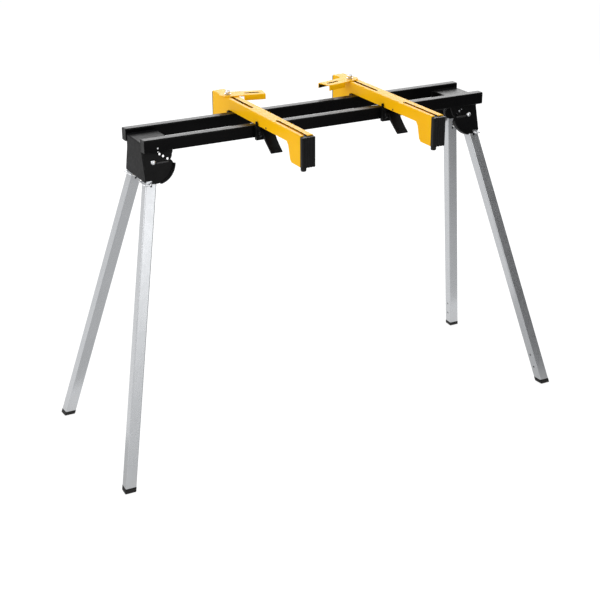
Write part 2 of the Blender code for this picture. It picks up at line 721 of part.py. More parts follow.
def clamp(label, centre_x, sideways, slide, finishes):
    """The front clamp: a cast block under the channel, a pad, a cam lever and its pin."""
    back = -(BEAM_WIDTH / 2 + CLAMP_STANDOFF)
    front = back - CLAMP_DEPTH
    half = CLAMP_WIDTH / 2
    pivot = (CLAMP_PIVOT_Y, -CLAMP_PIVOT_DROP)
    lever_low = LEVER_OFFSET - LEVER_WIDTH / 2
    lever_high = LEVER_OFFSET + LEVER_WIDTH / 2
    body_outline = rounded_rectangle(CLAMP_DEPTH / 2, CLAMP_HEIGHT / 2, 0.0015, 2,
                                     ((back + front) / 2, -GAP - CLAMP_HEIGHT / 2))
    body = prism(body_outline, sideways, -half, half)
    tongue_outline = ((back - 0.003, -0.004), (front + 0.0005, -0.004), (front + 0.0005, 0.002),
                      (back - TONGUE_REACH, 0.002), (back - TONGUE_REACH, TONGUE_RISE),
                      (back - 0.003, TONGUE_RISE))
    tongue = prism(tongue_outline, sideways, -CHANNEL_HALF + GAP, CHANNEL_HALF - GAP)
    fork_low = lever_low - LEVER_SIDE_GAP - EAR_THICKNESS
    fork_high = lever_high + LEVER_SIDE_GAP + EAR_THICKNESS
    fork_outline = [(front + 0.002, -0.0035)] + arc(pivot, EAR_RADIUS, 90, 270, 10)
    fork_outline += [(front + 0.002, -CLAMP_HEIGHT + 0.003)]
    shape = fuse(body, tongue, prism(fork_outline, sideways, fork_low, fork_high))
    window_half = CAM_RADIUS + 0.0008
    pocket_depth = PAD_THICKNESS + PAD_TRAVEL + 0.0007 - CLAMP_STANDOFF + GAP
    pocket = prism(
        ((back + 0.001, -PAD_INSET), (back - pocket_depth, -PAD_INSET),
         (back - pocket_depth, -CLAMP_HEIGHT + PAD_INSET), (back + 0.001, -CLAMP_HEIGHT + PAD_INSET)),
        sideways, -half + PAD_MARGIN, half - PAD_MARGIN)
    beyond = pivot[0] - EAR_RADIUS - 0.002
    window = prism(
        ((back + 0.001, pivot[1] + window_half), (front, pivot[1] + window_half),
         (front, 0.0007 - GAP), (beyond, 0.0007 - GAP),
         (beyond, -CLAMP_HEIGHT - 0.002), (front, -CLAMP_HEIGHT - 0.002),
         (front, pivot[1] - window_half), (back + 0.001, pivot[1] - window_half)),
        sideways, lever_low - LEVER_SIDE_GAP, lever_high + LEVER_SIDE_GAP)
    axle = axes(sideways @ Vector((*pivot, 0.0)), (0, 1, 0), (0, 0, 1), (1, 0, 0))
    bore = turned(((CLAMP_PIN_RADIUS + GAP, -0.035), (CLAMP_PIN_RADIUS + GAP, 0.035)), axle, 16)
    piece("clamp_block_" + label, cut(shape, pocket, window, bore), finishes["plastic"], slide)

    face = -(BEAM_WIDTH / 2 + GAP)
    pad_half_x = half - PAD_MARGIN - GAP
    pad_top = -PAD_INSET - GAP
    pad_bottom = -CLAMP_HEIGHT + PAD_INSET + GAP
    pad_outline = rounded_rectangle(PAD_THICKNESS / 2, (pad_top - pad_bottom) / 2, 0.001, 2,
                                    (face - PAD_THICKNESS / 2, (pad_top + pad_bottom) / 2))
    pad = prism(pad_outline, sideways, -pad_half_x, pad_half_x)
    nose_tip = CLAMP_PIVOT_Y + CAM_RADIUS + CAM_CLEARANCE
    nose_outline = ((face - PAD_THICKNESS + 0.001, pivot[1] + NOSE_HEIGHT / 2),
                    (nose_tip, pivot[1] + NOSE_HEIGHT / 2 - 0.0005),
                    (nose_tip, pivot[1] - NOSE_HEIGHT / 2 + 0.0005),
                    (face - PAD_THICKNESS + 0.001, pivot[1] - NOSE_HEIGHT / 2))
    nose = prism(nose_outline, sideways, lever_low + NOSE_INSET, lever_high - NOSE_INSET)
    pad_slide = empty("pad_slide_" + label, (0.0, face, pivot[1]), slide)
    piece("clamp_pad_" + label, fuse(pad, nose), finishes["rubber"], pad_slide)

    pin_low = fork_low - GAP
    pin_high = fork_high + GAP
    profile = ((CLAMP_PIN_HEAD * 0.8, pin_low - CLAMP_PIN_HEAD_HEIGHT),
               (CLAMP_PIN_HEAD, pin_low - CLAMP_PIN_HEAD_HEIGHT * 0.5),
               (CLAMP_PIN_HEAD, pin_low), (CLAMP_PIN_RADIUS, pin_low),
               (CLAMP_PIN_RADIUS, pin_high), (CLAMP_PIN_HEAD, pin_high),
               (CLAMP_PIN_HEAD, pin_high + CLAMP_PIN_HEAD_HEIGHT * 0.5),
               (CLAMP_PIN_HEAD * 0.8, pin_high + CLAMP_PIN_HEAD_HEIGHT))
    piece("clamp_pin_" + label, turned(profile, axle, 16), finishes["chrome"], slide)

    hinge = empty("lever_hinge_" + label, (0.0, *pivot), slide)
    lever = prism(lever_outline(pivot), sideways, lever_low, lever_high)
    lever_bore = turned(((CLAMP_PIN_RADIUS + GAP, -0.035), (CLAMP_PIN_RADIUS + GAP, 0.035)), axle, 16)
    piece("clamp_lever_" + label, cut(lever, lever_bore), finishes["plastic"], hinge)


def lever_outline(pivot):
    """The cam hub and paddle from the side, in (y, z). The cam's radius falls evenly as it turns."""
    outline = []
    for step in range(23):
        angle = -86.0 + 11.3 * step
        if angle < -CAM_TURN:
            radius = HUB_RADIUS
        elif angle < 0.0:
            radius = HUB_RADIUS + (CAM_RADIUS - HUB_RADIUS) * (angle + CAM_TURN) / CAM_TURN
        elif angle < 22.0:
            radius = CAM_RADIUS
        else:
            radius = max(HUB_RADIUS, CAM_RADIUS - (CAM_RADIUS - HUB_RADIUS) * (angle - 22.0) / 30.0)
        turn = math.radians(angle)
        outline.append((pivot[0] + radius * math.cos(turn), pivot[1] + radius * math.sin(turn)))
    slope = math.radians(LEVER_SLOPE)
    along = (-math.cos(slope), -math.sin(slope))
    above = (-math.sin(slope), math.cos(slope))
    tip = LEVER_TIP / 2
    paddle = [(0.016, LEVER_ROOT * 0.60), (0.028, LEVER_ROOT * 0.40), (LEVER_LENGTH * 0.75, tip + 0.0002)]
    paddle += [(LEVER_LENGTH - tip + x, y + 0.0010) for x, y in arc((0, 0), tip, 90, -90, 5)]
    paddle += [(LEVER_LENGTH * 0.75, -tip + 0.0002), (0.028, -LEVER_ROOT * 0.42),
               (0.011, -LEVER_ROOT * 0.42)]
    for distance, rise in paddle:
        outline.append((pivot[0] + distance * along[0] + rise * above[0],
                        pivot[1] + distance * along[1] + rise * above[1]))
    return outline


def rail_hook(name, centre_x, sideways, slide, plastic):
    """The fixed jaw behind the rear rail, with a lip under it and a tongue in the channel."""
    face = BEAM_WIDTH / 2 + GAP
    under = -RAIL_HEIGHT - GAP
    outline = [(face, -GAP), (face, under), (face - HOOK_LIP, under),
               (face - HOOK_LIP, under - HOOK_LIP_THICKNESS)]
    outline += arc((face + HOOK_DEPTH - 0.004, under - HOOK_LIP_THICKNESS + 0.004), 0.004, 270, 360, 3)
    outline.append((face + HOOK_DEPTH, -GAP))
    hook = prism(outline, sideways, -CLAMP_WIDTH / 2, CLAMP_WIDTH / 2)
    tongue = block((centre_x - CHANNEL_HALF + GAP, face + 0.001, BEAM_TOP - 0.004),
                   (centre_x + CHANNEL_HALF - GAP, face + HOOK_DEPTH - 0.001, BEAM_TOP + TONGUE_RISE))
    piece(name, fuse(hook, tongue), plastic, slide)


def swivel_arm(label, bolt_x, bolt_y, arm_turn, slide, finishes):
    """A slotted channel arm clamped on the bracket by a bolt, a washer and a cap nut."""
    carrier = empty("bolt_slide_" + label, (SLOT_OFFSET, bolt_y, 0.0), slide)
    swivel = empty("arm_swivel_" + label, (0.0, 0.0, 0.0), carrier)
    spot = Matrix.Translation((bolt_x, bolt_y, BEAM_TOP))
    frame = spot @ Matrix.Rotation(math.radians(arm_turn), 4, "Z")
    under = BRACKET_RISE + GAP
    top = under + ARM_SHEET
    half = ARM_WIDTH / 2
    tab = half - BRACKET_FOLD
    plate_outline = arc((0.0, 0.0), half, 90, 270, 16)
    plate_outline += [(ARM_FLANGE_START, -half), (ARM_FLANGE_START, -tab), (ARM_FLANGE_START + 0.002, -tab),
                      (ARM_FLANGE_START + 0.002, tab), (ARM_FLANGE_START, tab), (ARM_FLANGE_START, half)]
    plate = prism(plate_outline, frame, under, top)
    lengthwise = frame @ axes((0, 0, 0), (0, 1, 0), (0, 0, 1), (1, 0, 0))
    section = channel_section(half, top, top - ARM_FLANGE, ARM_SHEET, BRACKET_FOLD)
    folded = prism(section, lengthwise, ARM_FLANGE_START, ARM_LENGTH)
    bore_radius = BOLT_RADIUS + BOLT_HOLE_GAP
    bore = turned(((bore_radius, under - ARM_SHEET), (bore_radius, top + ARM_SHEET)), frame, 16)
    slot = stadium((ARM_SLOT[0] + SLOT_WIDTH / 2, 0.0), (ARM_SLOT[1] - SLOT_WIDTH / 2, 0.0),
                   SLOT_WIDTH / 2, 8)
    opening = prism(slot, frame, under - ARM_SHEET, top + ARM_SHEET)
    piece("arm_" + label, cut(fuse(plate, folded), bore, opening), finishes["yellow"], swivel)

    head_top = BRACKET_RISE - BRACKET_SHEET - GAP
    washer_low = top + GAP
    washer_high = washer_low + WASHER_THICKNESS
    nut_low = washer_high + GAP
    thread_top = nut_low + NUT_BORE_DEPTH - 0.0005
    bolt_profile = ((BOLT_HEAD_RADIUS * 0.55, head_top - BOLT_HEAD_HEIGHT),
                    (BOLT_HEAD_RADIUS * 0.85, head_top - BOLT_HEAD_HEIGHT * 0.75),
                    (BOLT_HEAD_RADIUS, head_top - BOLT_HEAD_HEIGHT * 0.3),
                    (BOLT_HEAD_RADIUS, head_top), (BOLT_RADIUS, head_top), (BOLT_RADIUS, thread_top))
    piece("arm_bolt_" + label, turned(bolt_profile, spot), finishes["chrome"], carrier)

    loops = [circle(spot, radius, height) for radius, height in (
        (WASHER_RADIUS, washer_low), (WASHER_RADIUS, washer_high),
        (bore_radius, washer_high), (bore_radius, washer_low))]
    piece("arm_washer_" + label, hollow(loops), finishes["chrome"], carrier)

    corner = NUT_FLATS / 2 / math.cos(math.radians(30))
    hexagon = [(corner * math.cos(math.radians(60 * i)), corner * math.sin(math.radians(60 * i)))
               for i in range(6)]
    hex_part = prism(hexagon, spot, nut_low, nut_low + NUT_HEX_HEIGHT)
    dome_radius = NUT_FLATS / 2 * 0.93
    dome_profile = [(dome_radius, nut_low + NUT_HEX_HEIGHT - 0.001)]
    for step in range(6):
        angle = math.radians(15 * step)
        dome_profile.append((dome_radius * math.cos(angle),
                             nut_low + NUT_HEX_HEIGHT + NUT_DOME_HEIGHT * math.sin(angle)))
    nut = fuse(hex_part, turned(dome_profile, spot))
    thread = turned(((bore_radius, nut_low - 0.002), (bore_radius, nut_low + NUT_BORE_DEPTH)), spot, 16)
    piece("arm_nut_" + label, cut(nut, thread), finishes["chrome"], carrier)


def circle(frame, radius, height, sides=ROUND):
    return [frame @ Vector((radius * math.cos(2 * math.pi * i / sides),
                            radius * math.sin(2 * math.pi * i / sides), height))
            for i in range(sides)]


def beam_y():
    """The beam's place along Y that centres the whole stand over the origin."""
    frame = leg_frame(1, 1)
    sole = leg_loop(frame, LEG_HALF + FOOT_LIP, LEG_CORNER, height=0.0)
    rear_reach = max(point.y for point in sole)
    return (BRACKET_FRONT - rear_reach) / 2


def build():
    clear_scene()
    finishes = {
        "black": material("black_enamel", (0.012, 0.012, 0.013), 0.0, 0.35),
        "yellow": material("yellow_enamel", (0.91, 0.49, 0.012), 0.0, 0.4),
        "tube": material("silver_leg", (0.55, 0.56, 0.58), 0.9, 0.35),
        "chrome": material("bright_zinc", (0.75, 0.76, 0.78), 1.0, 0.15),
        "plastic": material("black_plastic", (0.015, 0.015, 0.016), 0.0, 0.5),
        "rubber": material("black_rubber", (0.01, 0.01, 0.01), 0.0, 0.8),
    }
    stand = empty("stand", (0.0, beam_y(), 0.0))
    rail("rail_front", -1, stand, finishes["black"], finishes["plastic"])
    rail("rail_rear", 1, stand, finishes["black"], finishes["plastic"])
    for side_x, end in ((-1, "left"), (1, "right")):
        end_bracket("end_bracket_" + end, side_x, stand, finishes["black"])
        for side_y, row in ((-1, "front"), (1, "rear")):
            label = row + "_" + end
            sector_plate("sector_plate_" + label, side_x, side_y, stand, finishes["black"])
            inner_plate("inner_plate_" + label, side_x, side_y, stand, finishes["black"])
            pivot_pin("pivot_pin_" + label, side_x, side_y, stand, finishes["chrome"])
            leg(label, side_x, side_y, stand, finishes)
    for label, centre_x, bolt_y, turn in zip(("left", "right"), BRACKET_X, BOLT_Y, ARM_TURNS):
        bracket(label, centre_x, bolt_y, turn, stand, finishes)


build()
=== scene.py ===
"""Folding miter saw stand: finishes, small parts, studio and camera, in order of assembly."""

import json
import math

import bmesh
import bpy
from mathutils import Matrix, Vector
from mathutils.bvhtree import BVHTree

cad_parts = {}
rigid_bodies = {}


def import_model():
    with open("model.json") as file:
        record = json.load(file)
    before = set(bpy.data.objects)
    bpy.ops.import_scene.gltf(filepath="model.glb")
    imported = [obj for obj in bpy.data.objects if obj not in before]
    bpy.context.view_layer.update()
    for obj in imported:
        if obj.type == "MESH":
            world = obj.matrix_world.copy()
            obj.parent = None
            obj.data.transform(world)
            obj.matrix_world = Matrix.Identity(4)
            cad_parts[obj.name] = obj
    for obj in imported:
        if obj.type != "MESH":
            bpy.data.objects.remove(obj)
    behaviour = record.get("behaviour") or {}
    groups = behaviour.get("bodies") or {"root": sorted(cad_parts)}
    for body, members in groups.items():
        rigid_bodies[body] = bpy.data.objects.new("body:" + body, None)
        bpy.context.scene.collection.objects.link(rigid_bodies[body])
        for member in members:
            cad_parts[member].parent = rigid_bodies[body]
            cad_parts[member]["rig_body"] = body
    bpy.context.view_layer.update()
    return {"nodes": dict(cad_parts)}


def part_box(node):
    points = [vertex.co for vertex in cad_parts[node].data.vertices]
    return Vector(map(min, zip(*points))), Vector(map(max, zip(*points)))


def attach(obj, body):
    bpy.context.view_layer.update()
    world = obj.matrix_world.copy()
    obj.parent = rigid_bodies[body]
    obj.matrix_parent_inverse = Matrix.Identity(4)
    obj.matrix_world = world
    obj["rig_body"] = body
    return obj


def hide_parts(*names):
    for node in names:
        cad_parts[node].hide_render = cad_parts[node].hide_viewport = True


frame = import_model()
nodes = frame["nodes"]


# Rails: two rectangular steel tubes, welded to the end brackets and then powder coated
# in semi-gloss black. The coat has a fine orange-peel skin, and fine rubbing marks along
# the top where the brackets are slid.
RAILS = ("rail_front", "rail_rear")
BEAM_TOP = 0.852


def start_material(name):
    """A new material with its shader and object coordinates, for the finishes below."""
    material = bpy.data.materials.new(name)
    material.use_nodes = True
    tree = material.node_tree
    shader = tree.nodes["Principled BSDF"]
    place = tree.nodes.new("ShaderNodeTexCoord")
    return material, tree, shader, place.outputs["Object"]


def noise(tree, coordinates, scale, detail=3.0, roughness=0.55):
    node = tree.nodes.new("ShaderNodeTexNoise")
    node.inputs["Scale"].default_value = scale
    node.inputs["Detail"].default_value = detail
    node.inputs["Roughness"].default_value = roughness
    tree.links.new(coordinates, node.inputs["Vector"])
    return node.outputs["Fac"]


def spread(tree, value, low, high, from_low=0.3, from_high=0.7):
    node = tree.nodes.new("ShaderNodeMapRange")
    node.inputs["From Min"].default_value = from_low
    node.inputs["From Max"].default_value = from_high
    node.inputs["To Min"].default_value = low
    node.inputs["To Max"].default_value = high
    tree.links.new(value, node.inputs["Value"])
    return node.outputs["Result"]


def reckon(tree, operation, first, second):
    """A math node on two values, each a socket or a number."""
    node = tree.nodes.new("ShaderNodeMath")
    node.operation = operation
    for socket, value in zip(node.inputs, (first, second)):
        if isinstance(value, (int, float)):
            socket.default_value = value
        else:
            tree.links.new(value, socket)
    return node.outputs["Value"]


def colour_between(tree, factor, dark, light):
    """Mixes two colours, each a socket or three numbers."""
    node = tree.nodes.new("ShaderNodeMix")
    node.data_type = "RGBA"
    for socket, value in ((node.inputs["A"], dark), (node.inputs["B"], light)):
        if isinstance(value, tuple):
            socket.default_value = (*value, 1.0)
        else:
            tree.links.new(value, socket)
    tree.links.new(factor, node.inputs["Factor"])
    return node.outputs["Result"]


def relief(tree, shader, height, depth):
    """Feeds a height into the shader's normal, as a surface relief of that depth in metres."""
    node = tree.nodes.new("ShaderNodeBump")
    node.inputs["Distance"].default_value = depth
    tree.links.new(height, node.inputs["Height"])
    before = shader.inputs["Normal"]
    if before.is_linked:
        tree.links.new(before.links[0].from_socket, node.inputs["Normal"])
    tree.links.new(node.outputs["Normal"], before)


def drawn_out(tree, coordinates, turn, stretch):
    """Coordinates stretched along one direction, for marks that run that way."""
    node = tree.nodes.new("ShaderNodeMapping")
    node.vector_type = "TEXTURE"
    node.inputs["Rotation"].default_value = turn
    node.inputs["Scale"].default_value = stretch
    tree.links.new(coordinates, node.inputs["Vector"])
    return node.outputs["Vector"]


def rail_coat(name):
    """The rails' powder coat, with rubbing marks that run along the top."""
    material, tree, shader, place = start_material(name)
    shader.inputs["Specular IOR Level"].default_value = 0.05
    height = tree.nodes.new("ShaderNodeSeparateXYZ")
    tree.links.new(place, height.inputs["Vector"])
    top = spread(tree, height.outputs["Z"], 0.0, 1.0, BEAM_TOP - 0.0012, BEAM_TOP - 0.0004)
    lines = noise(tree, drawn_out(tree, place, (0.0, 0.0, 0.0), (50.0, 1.0, 1.0)), 900.0, 4.0, 0.62)
    patches = spread(tree, noise(tree, place, 6.0, 3.0), 0.0, 1.0, 0.35, 0.65)
    marks = reckon(tree, "MULTIPLY", spread(tree, lines, 0.0, 1.0, 0.50, 0.68), top)
    marks = reckon(tree, "MULTIPLY", marks, patches)
    drift = spread(tree, noise(tree, place, 9.0, 4.0), 0.0, 1.0)
    tone = colour_between(tree, drift, (0.0020, 0.0020, 0.0022), (0.0038, 0.0038, 0.0041))
    tree.links.new(colour_between(tree, marks, tone, (0.014, 0.014, 0.015)),
                   shader.inputs["Base Color"])
    scuff = spread(tree, noise(tree, place, 120.0, 5.0, 0.65), 0.22, 0.31)
    tree.links.new(reckon(tree, "ADD", scuff, reckon(tree, "MULTIPLY", marks, 0.10)),
                   shader.inputs["Roughness"])
    relief(tree, shader, noise(tree, place, 620.0, 2.0), 0.00002)
    return material


def dress(names, material):
    for name in names:
        for slot in nodes[name].material_slots:
            slot.material = material


dress(RAILS, rail_coat("rail_enamel"))


# Rail caps: injection-moulded plastic plugs pushed into the four tube ends. Each has a
# rounded edge and a shallow dished face.
CAP_EDGE = 0.0008
CAP_RIM = 0.0035
CAP_DISH = 0.0006


def finished(name, shape, material, body, stands_for=(), sharp=32.0):
    """Makes a closed shape into a piece that rides on a body and stands for its CAD nodes."""
    bmesh.ops.recalc_face_normals(shape, faces=shape.faces)
    mesh = bpy.data.meshes.new(name)
    shape.to_mesh(mesh)
    shape.free()
    mesh.shade_smooth()
    mesh.set_sharp_from_angle(angle=math.radians(sharp))
    mesh.materials.append(material)
    item = bpy.data.objects.new(name, mesh)
    bpy.context.scene.collection.objects.link(item)
    return in_place(item, body, stands_for)


def in_place(item, body, stands_for=()):
    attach(item, body)
    if stands_for:
        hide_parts(*stands_for)
    return item


def node_shape(node):
    """A CAD node's copy with its triangles merged back into whole faces."""
    shape = bmesh.new()
    shape.from_mesh(nodes[node].data)
    bmesh.ops.remove_doubles(shape, verts=shape.verts, dist=2e-6)
    bmesh.ops.dissolve_limit(shape, angle_limit=math.radians(0.4), verts=shape.verts,
                             edges=shape.edges)
    return shape


def soften(shape, edges, width, steps=2):
    """Rounds edges and marks the new faces, which the finishes paint paler as wear and as a painted
    highlight.
    """
    layers = shape.faces.layers.float
    layer = layers.get("rubbed_edge") or layers.new("rubbed_edge")
    made = bmesh.ops.bevel(shape, geom=edges, offset=width, offset_type="OFFSET", segments=steps,
                           profile=0.5, affect="EDGES", clamp_overlap=False)
    for face in made["faces"]:
        face[layer] = 1.0


def sharp_edges(shape, least=30.0, shortest=0.0):
    return [edge for edge in shape.edges if len(edge.link_faces) == 2
            and edge.calc_face_angle() > math.radians(least) and edge.calc_length() > shortest]


def level_shading(item):
    """Keeps broad faces flat and shades only the rounded edges between them."""
    keep = item.modifiers.new("level", "WEIGHTED_NORMAL")
    keep.keep_sharp = True
    graph = bpy.context.evaluated_depsgraph_get()
    mesh = bpy.data.meshes.new_from_object(item.evaluated_get(graph), depsgraph=graph)
    mesh.name = item.name
    item.modifiers.clear()
    item.data = mesh


def softened(node, width, material, shape=None, steps=2, shortest=0.0):
    """The CAD node's own form with its edges rounded, in its place on its body."""
    if shape is None:
        shape = node_shape(node)
    soften(shape, sharp_edges(shape, 30.0, shortest), width, steps)
    item = finished("soft_" + node, shape, material, nodes[node]["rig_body"], [node], 50.0)
    level_shading(item)
    return item


def edge_wear_and_highlight(tree, coordinates, amount):
    """The rounded edges' mask, broken up by a noise, for paler edges that are partly wear and partly
    a painted highlight: 0 on the flats.
    """
    node = tree.nodes.new("ShaderNodeAttribute")
    node.attribute_name = "rubbed_edge"
    patches = spread(tree, noise(tree, coordinates, 70.0, 4.0, 0.65), 0.0, amount, 0.35, 0.75)
    return reckon(tree, "MULTIPLY", node.outputs["Fac"], patches)


def moulded_plastic(name, dark, light, smooth, rough, gloss, grain=0.00005):
    """Spark-eroded moulding grain, uneven gloss, and edges that the mould polished to a lower
    roughness, painted paler as a painted highlight.
    """
    material, tree, shader, place = start_material(name)
    shader.inputs["Specular IOR Level"].default_value = gloss
    drift = spread(tree, noise(tree, place, 14.0, 3.0), 0.0, 1.0)
    tone = colour_between(tree, drift, dark, light)
    edge_polish_and_highlight = edge_wear_and_highlight(tree, place, 0.8)
    # Paler edges: a painted highlight, not a colour of the plastic.
    painted_edge_highlight = tuple(channel * 2.2 + 0.004 for channel in light)
    tree.links.new(colour_between(tree, edge_polish_and_highlight, tone, painted_edge_highlight), shader.inputs["Base Color"])
    matt = spread(tree, noise(tree, place, 60.0, 4.0), smooth, rough)
    tree.links.new(reckon(tree, "SUBTRACT", matt, reckon(tree, "MULTIPLY", edge_polish_and_highlight, 0.12)),
                   shader.inputs["Roughness"])
    relief(tree, shader, noise(tree, place, 1500.0, 2.0), grain)
    return material


cap_plastic = moulded_plastic("cap_plastic", (0.0040, 0.0040, 0.0042), (0.0075, 0.0075, 0.0078),
                              0.36, 0.50, 0.12, 0.00003)
for rail in RAILS:
    for end, side in (("left", -1), ("right", 1)):
        cap = f"{rail}_cap_{end}"
        shape = node_shape(cap)
        face = max(shape.faces, key=lambda item: side * item.normal.x * item.calc_area())
        bmesh.ops.inset_region(shape, faces=[face], thickness=CAP_RIM, depth=-CAP_DISH)
        softened(cap, CAP_EDGE, cap_plastic, shape, 3)


# End brackets and hinge plates: pressed steel sheet, folded, punched and welded, coated
# black together with the rails. The coat rounds the punched edges, except in the small
# holes, and is duller on the left bracket.
ENDS = ("left", "right")
LEGS = [f"{row}_{end}" for end in ENDS for row in ("front", "rear")]
PRESSED_EDGE = 0.0004
FOLD_OUTSIDE = 0.0028
WALL_OUTER_X = 0.497
WALL_FOLD_Z = BEAM_TOP - 0.0135
HOLE_FACET = 0.0013


def powder_coat(name, dark, light, smooth, rough, gloss, peel=0.00002, worn_and_highlit_edge=None, edge=0.5):
    """Baked powder coat: orange-peel relief, slow drifts of tone and gloss, and paler edges, partly
    thin coat and partly a painted highlight.
    """
    material, tree, shader, place = start_material(name)
    shader.inputs["Specular IOR Level"].default_value = gloss
    drift = noise(tree, place, 9.0, 4.0)
    tone = colour_between(tree, spread(tree, drift, 0.0, 1.0), dark, light)
    specks = spread(tree, noise(tree, place, 1900.0, 2.0, 0.6), 0.0, 0.35, 0.60, 0.78)
    tone = colour_between(tree, specks, tone, light)
    if worn_and_highlit_edge:
        tone = colour_between(tree, edge_wear_and_highlight(tree, place, edge), tone, worn_and_highlit_edge)
    tree.links.new(tone, shader.inputs["Base Color"])
    scuff = noise(tree, place, 120.0, 5.0, 0.65)
    tree.links.new(spread(tree, scuff, smooth, rough), shader.inputs["Roughness"])
    relief(tree, shader, noise(tree, place, 620.0, 2.0), peel)
    return material


# The hinge plates' pale edges are partly wear where the bail runs and partly a painted highlight.
plate_enamel = powder_coat("plate_enamel", (0.0030, 0.0030, 0.0032), (0.0060, 0.0060, 0.0064),
                           0.24, 0.36, 0.06, worn_and_highlit_edge=(0.085, 0.085, 0.087), edge=0.9)
dull_enamel = powder_coat("dull_enamel", (0.0030, 0.0030, 0.0032), (0.0060, 0.0060, 0.0064),
                          0.42, 0.54, 0.07, worn_and_highlit_edge=(0.050, 0.050, 0.052))
for end, coat in zip(ENDS, (dull_enamel, plate_enamel)):
    shape = node_shape(f"end_bracket_{end}")
    fold = [edge for edge in shape.edges
            if all(abs(v.co.x) > WALL_OUTER_X and v.co.z > WALL_FOLD_Z for v in edge.verts)]
    bmesh.ops.bevel(shape, geom=fold, offset=FOLD_OUTSIDE, offset_type="OFFSET", segments=5,
                    profile=0.5, affect="EDGES", clamp_overlap=True)
    softened(f"end_bracket_{end}", PRESSED_EDGE, coat, shape)
for leg in LEGS:
    for kind in ("sector", "inner"):
        softened(f"{kind}_plate_{leg}", PRESSED_EDGE, plate_enamel,
                 shortest=HOLE_FACET)


# Welds: beads that join the end brackets' floors to the rails' inner faces, and the hinge
# plates to the rails' lower edges. A bead is a row of overlapping ripples under the coat.
BEAM_HALF_WIDTH = 0.075
RAIL_WIDTH = 0.025
BEAM_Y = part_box("rail_front")[0].y + BEAM_HALF_WIDTH
RAIL_INNER = BEAM_HALF_WIDTH - RAIL_WIDTH
FLOOR_WELD_Z = BEAM_TOP - 0.0125
PLATE_WELD_Z = BEAM_TOP - 0.0322
RIPPLE_PITCH = 0.0017


def row_maker():
    """A node tree that sets copies of a piece along a line, each a little different in size."""
    tree = bpy.data.node_groups.new("row_of_pieces", "GeometryNodeTree")
    sockets = (("Piece", "Object"), ("Count", "Int"), ("Start", "Vector"), ("End", "Vector"),
               ("Smallest", "Float"), ("Largest", "Float"), ("Seed", "Int"), ("Finish", "Material"))
    for label, kind in (("Geometry", "Geometry"), *sockets):
        tree.interface.new_socket(label, in_out="INPUT", socket_type="NodeSocket" + kind)
    tree.interface.new_socket("Geometry", in_out="OUTPUT", socket_type="NodeSocketGeometry")
    given = tree.nodes.new("NodeGroupInput")
    line = tree.nodes.new("GeometryNodeMeshLine")
    line.mode = "END_POINTS"
    tree.links.new(given.outputs["Count"], line.inputs["Count"])
    tree.links.new(given.outputs["Start"], line.inputs["Start Location"])
    tree.links.new(given.outputs["End"], line.inputs["Offset"])
    source = tree.nodes.new("GeometryNodeObjectInfo")
    tree.links.new(given.outputs["Piece"], source.inputs["Object"])
    size = tree.nodes.new("FunctionNodeRandomValue")
    size.data_type = "FLOAT"
    tree.links.new(given.outputs["Smallest"], size.inputs[2])
    tree.links.new(given.outputs["Largest"], size.inputs[3])
    tree.links.new(given.outputs["Seed"], size.inputs["Seed"])
    copies = tree.nodes.new("GeometryNodeInstanceOnPoints")
    tree.links.new(line.outputs["Mesh"], copies.inputs["Points"])
    tree.links.new(source.outputs["Geometry"], copies.inputs["Instance"])
    tree.links.new(size.outputs[1], copies.inputs["Scale"])
    solid = tree.nodes.new("GeometryNodeRealizeInstances")
    tree.links.new(copies.outputs["Instances"], solid.inputs["Geometry"])
    paint = tree.nodes.new("GeometryNodeSetMaterial")
    tree.links.new(solid.outputs["Geometry"], paint.inputs["Geometry"])
    tree.links.new(given.outputs["Finish"], paint.inputs["Material"])
    result = tree.nodes.new("NodeGroupOutput")
    tree.links.new(paint.outputs["Geometry"], result.inputs["Geometry"])
    return tree


row_tree = row_maker()


def row_of(name, pattern, start, end, count, material, body,
           seed=1, smallest=1.0, largest=1.0):
    """A row of copies of a pattern shape from start to end, as one plain mesh on a body."""
    pattern_mesh = bpy.data.meshes.new("pattern")
    pattern.to_mesh(pattern_mesh)
    pattern_mesh.shade_smooth()
    pattern_mesh.set_sharp_from_angle(angle=math.radians(40.0))
    sample = bpy.data.objects.new("pattern", pattern_mesh)
    holder = bpy.data.objects.new("row", bpy.data.meshes.new("row"))
    for item in (sample, holder):
        bpy.context.scene.collection.objects.link(item)
    row = holder.modifiers.new("row", "NODES")
    row.node_group = row_tree
    values = {"Piece": sample, "Count": count, "Start": start, "End": end, "Smallest": smallest,
              "Largest": largest, "Seed": seed, "Finish": material}
    for socket in row_tree.interface.items_tree:
        if socket.in_out == "INPUT" and socket.name in values:
            row[socket.identifier] = values[socket.name]
    graph = bpy.context.evaluated_depsgraph_get()
    mesh = bpy.data.meshes.new_from_object(holder.evaluated_get(graph), depsgraph=graph)
    mesh.name = name
    for item in (holder, sample):
        bpy.data.objects.remove(item, do_unlink=True)
    made = bpy.data.objects.new(name, mesh)
    bpy.context.scene.collection.objects.link(made)
    return in_place(made, body)


def ripple(along, across, high):
    """One ripple of a weld bead: a flat lens."""
    shape = bmesh.new()
    bmesh.ops.create_icosphere(shape, subdivisions=3, radius=1.0)
    bmesh.ops.scale(shape, vec=(along, across, high), verts=shape.verts)
    return shape


for end, side_x in (("left", -1), ("right", 1)):
    for row, side_y in (("front", -1), ("rear", 1)):
        places = (("floor_weld", 0.4225, 0.4945, RAIL_INNER - 0.0004, FLOOR_WELD_Z, 3),
                  ("plate_weld", 0.4475, 0.4915, RAIL_INNER - 0.0002, PLATE_WELD_Z, 8))
        for label, inner_x, outer_x, offset, height, seed in places:
            pattern = ripple(0.0017, 0.0023, 0.0016)
            count = round((outer_x - inner_x) / RIPPLE_PITCH)
            start = (side_x * inner_x, BEAM_Y + side_y * offset, height)
            stop = (side_x * outer_x, BEAM_Y + side_y * offset, height)
            row_of(f"{label}_{row}_{end}", pattern, start, stop, count, plate_enamel, "beam",
                   seed + side_x + 2 * side_y, 0.86, 1.12)
            pattern.free()


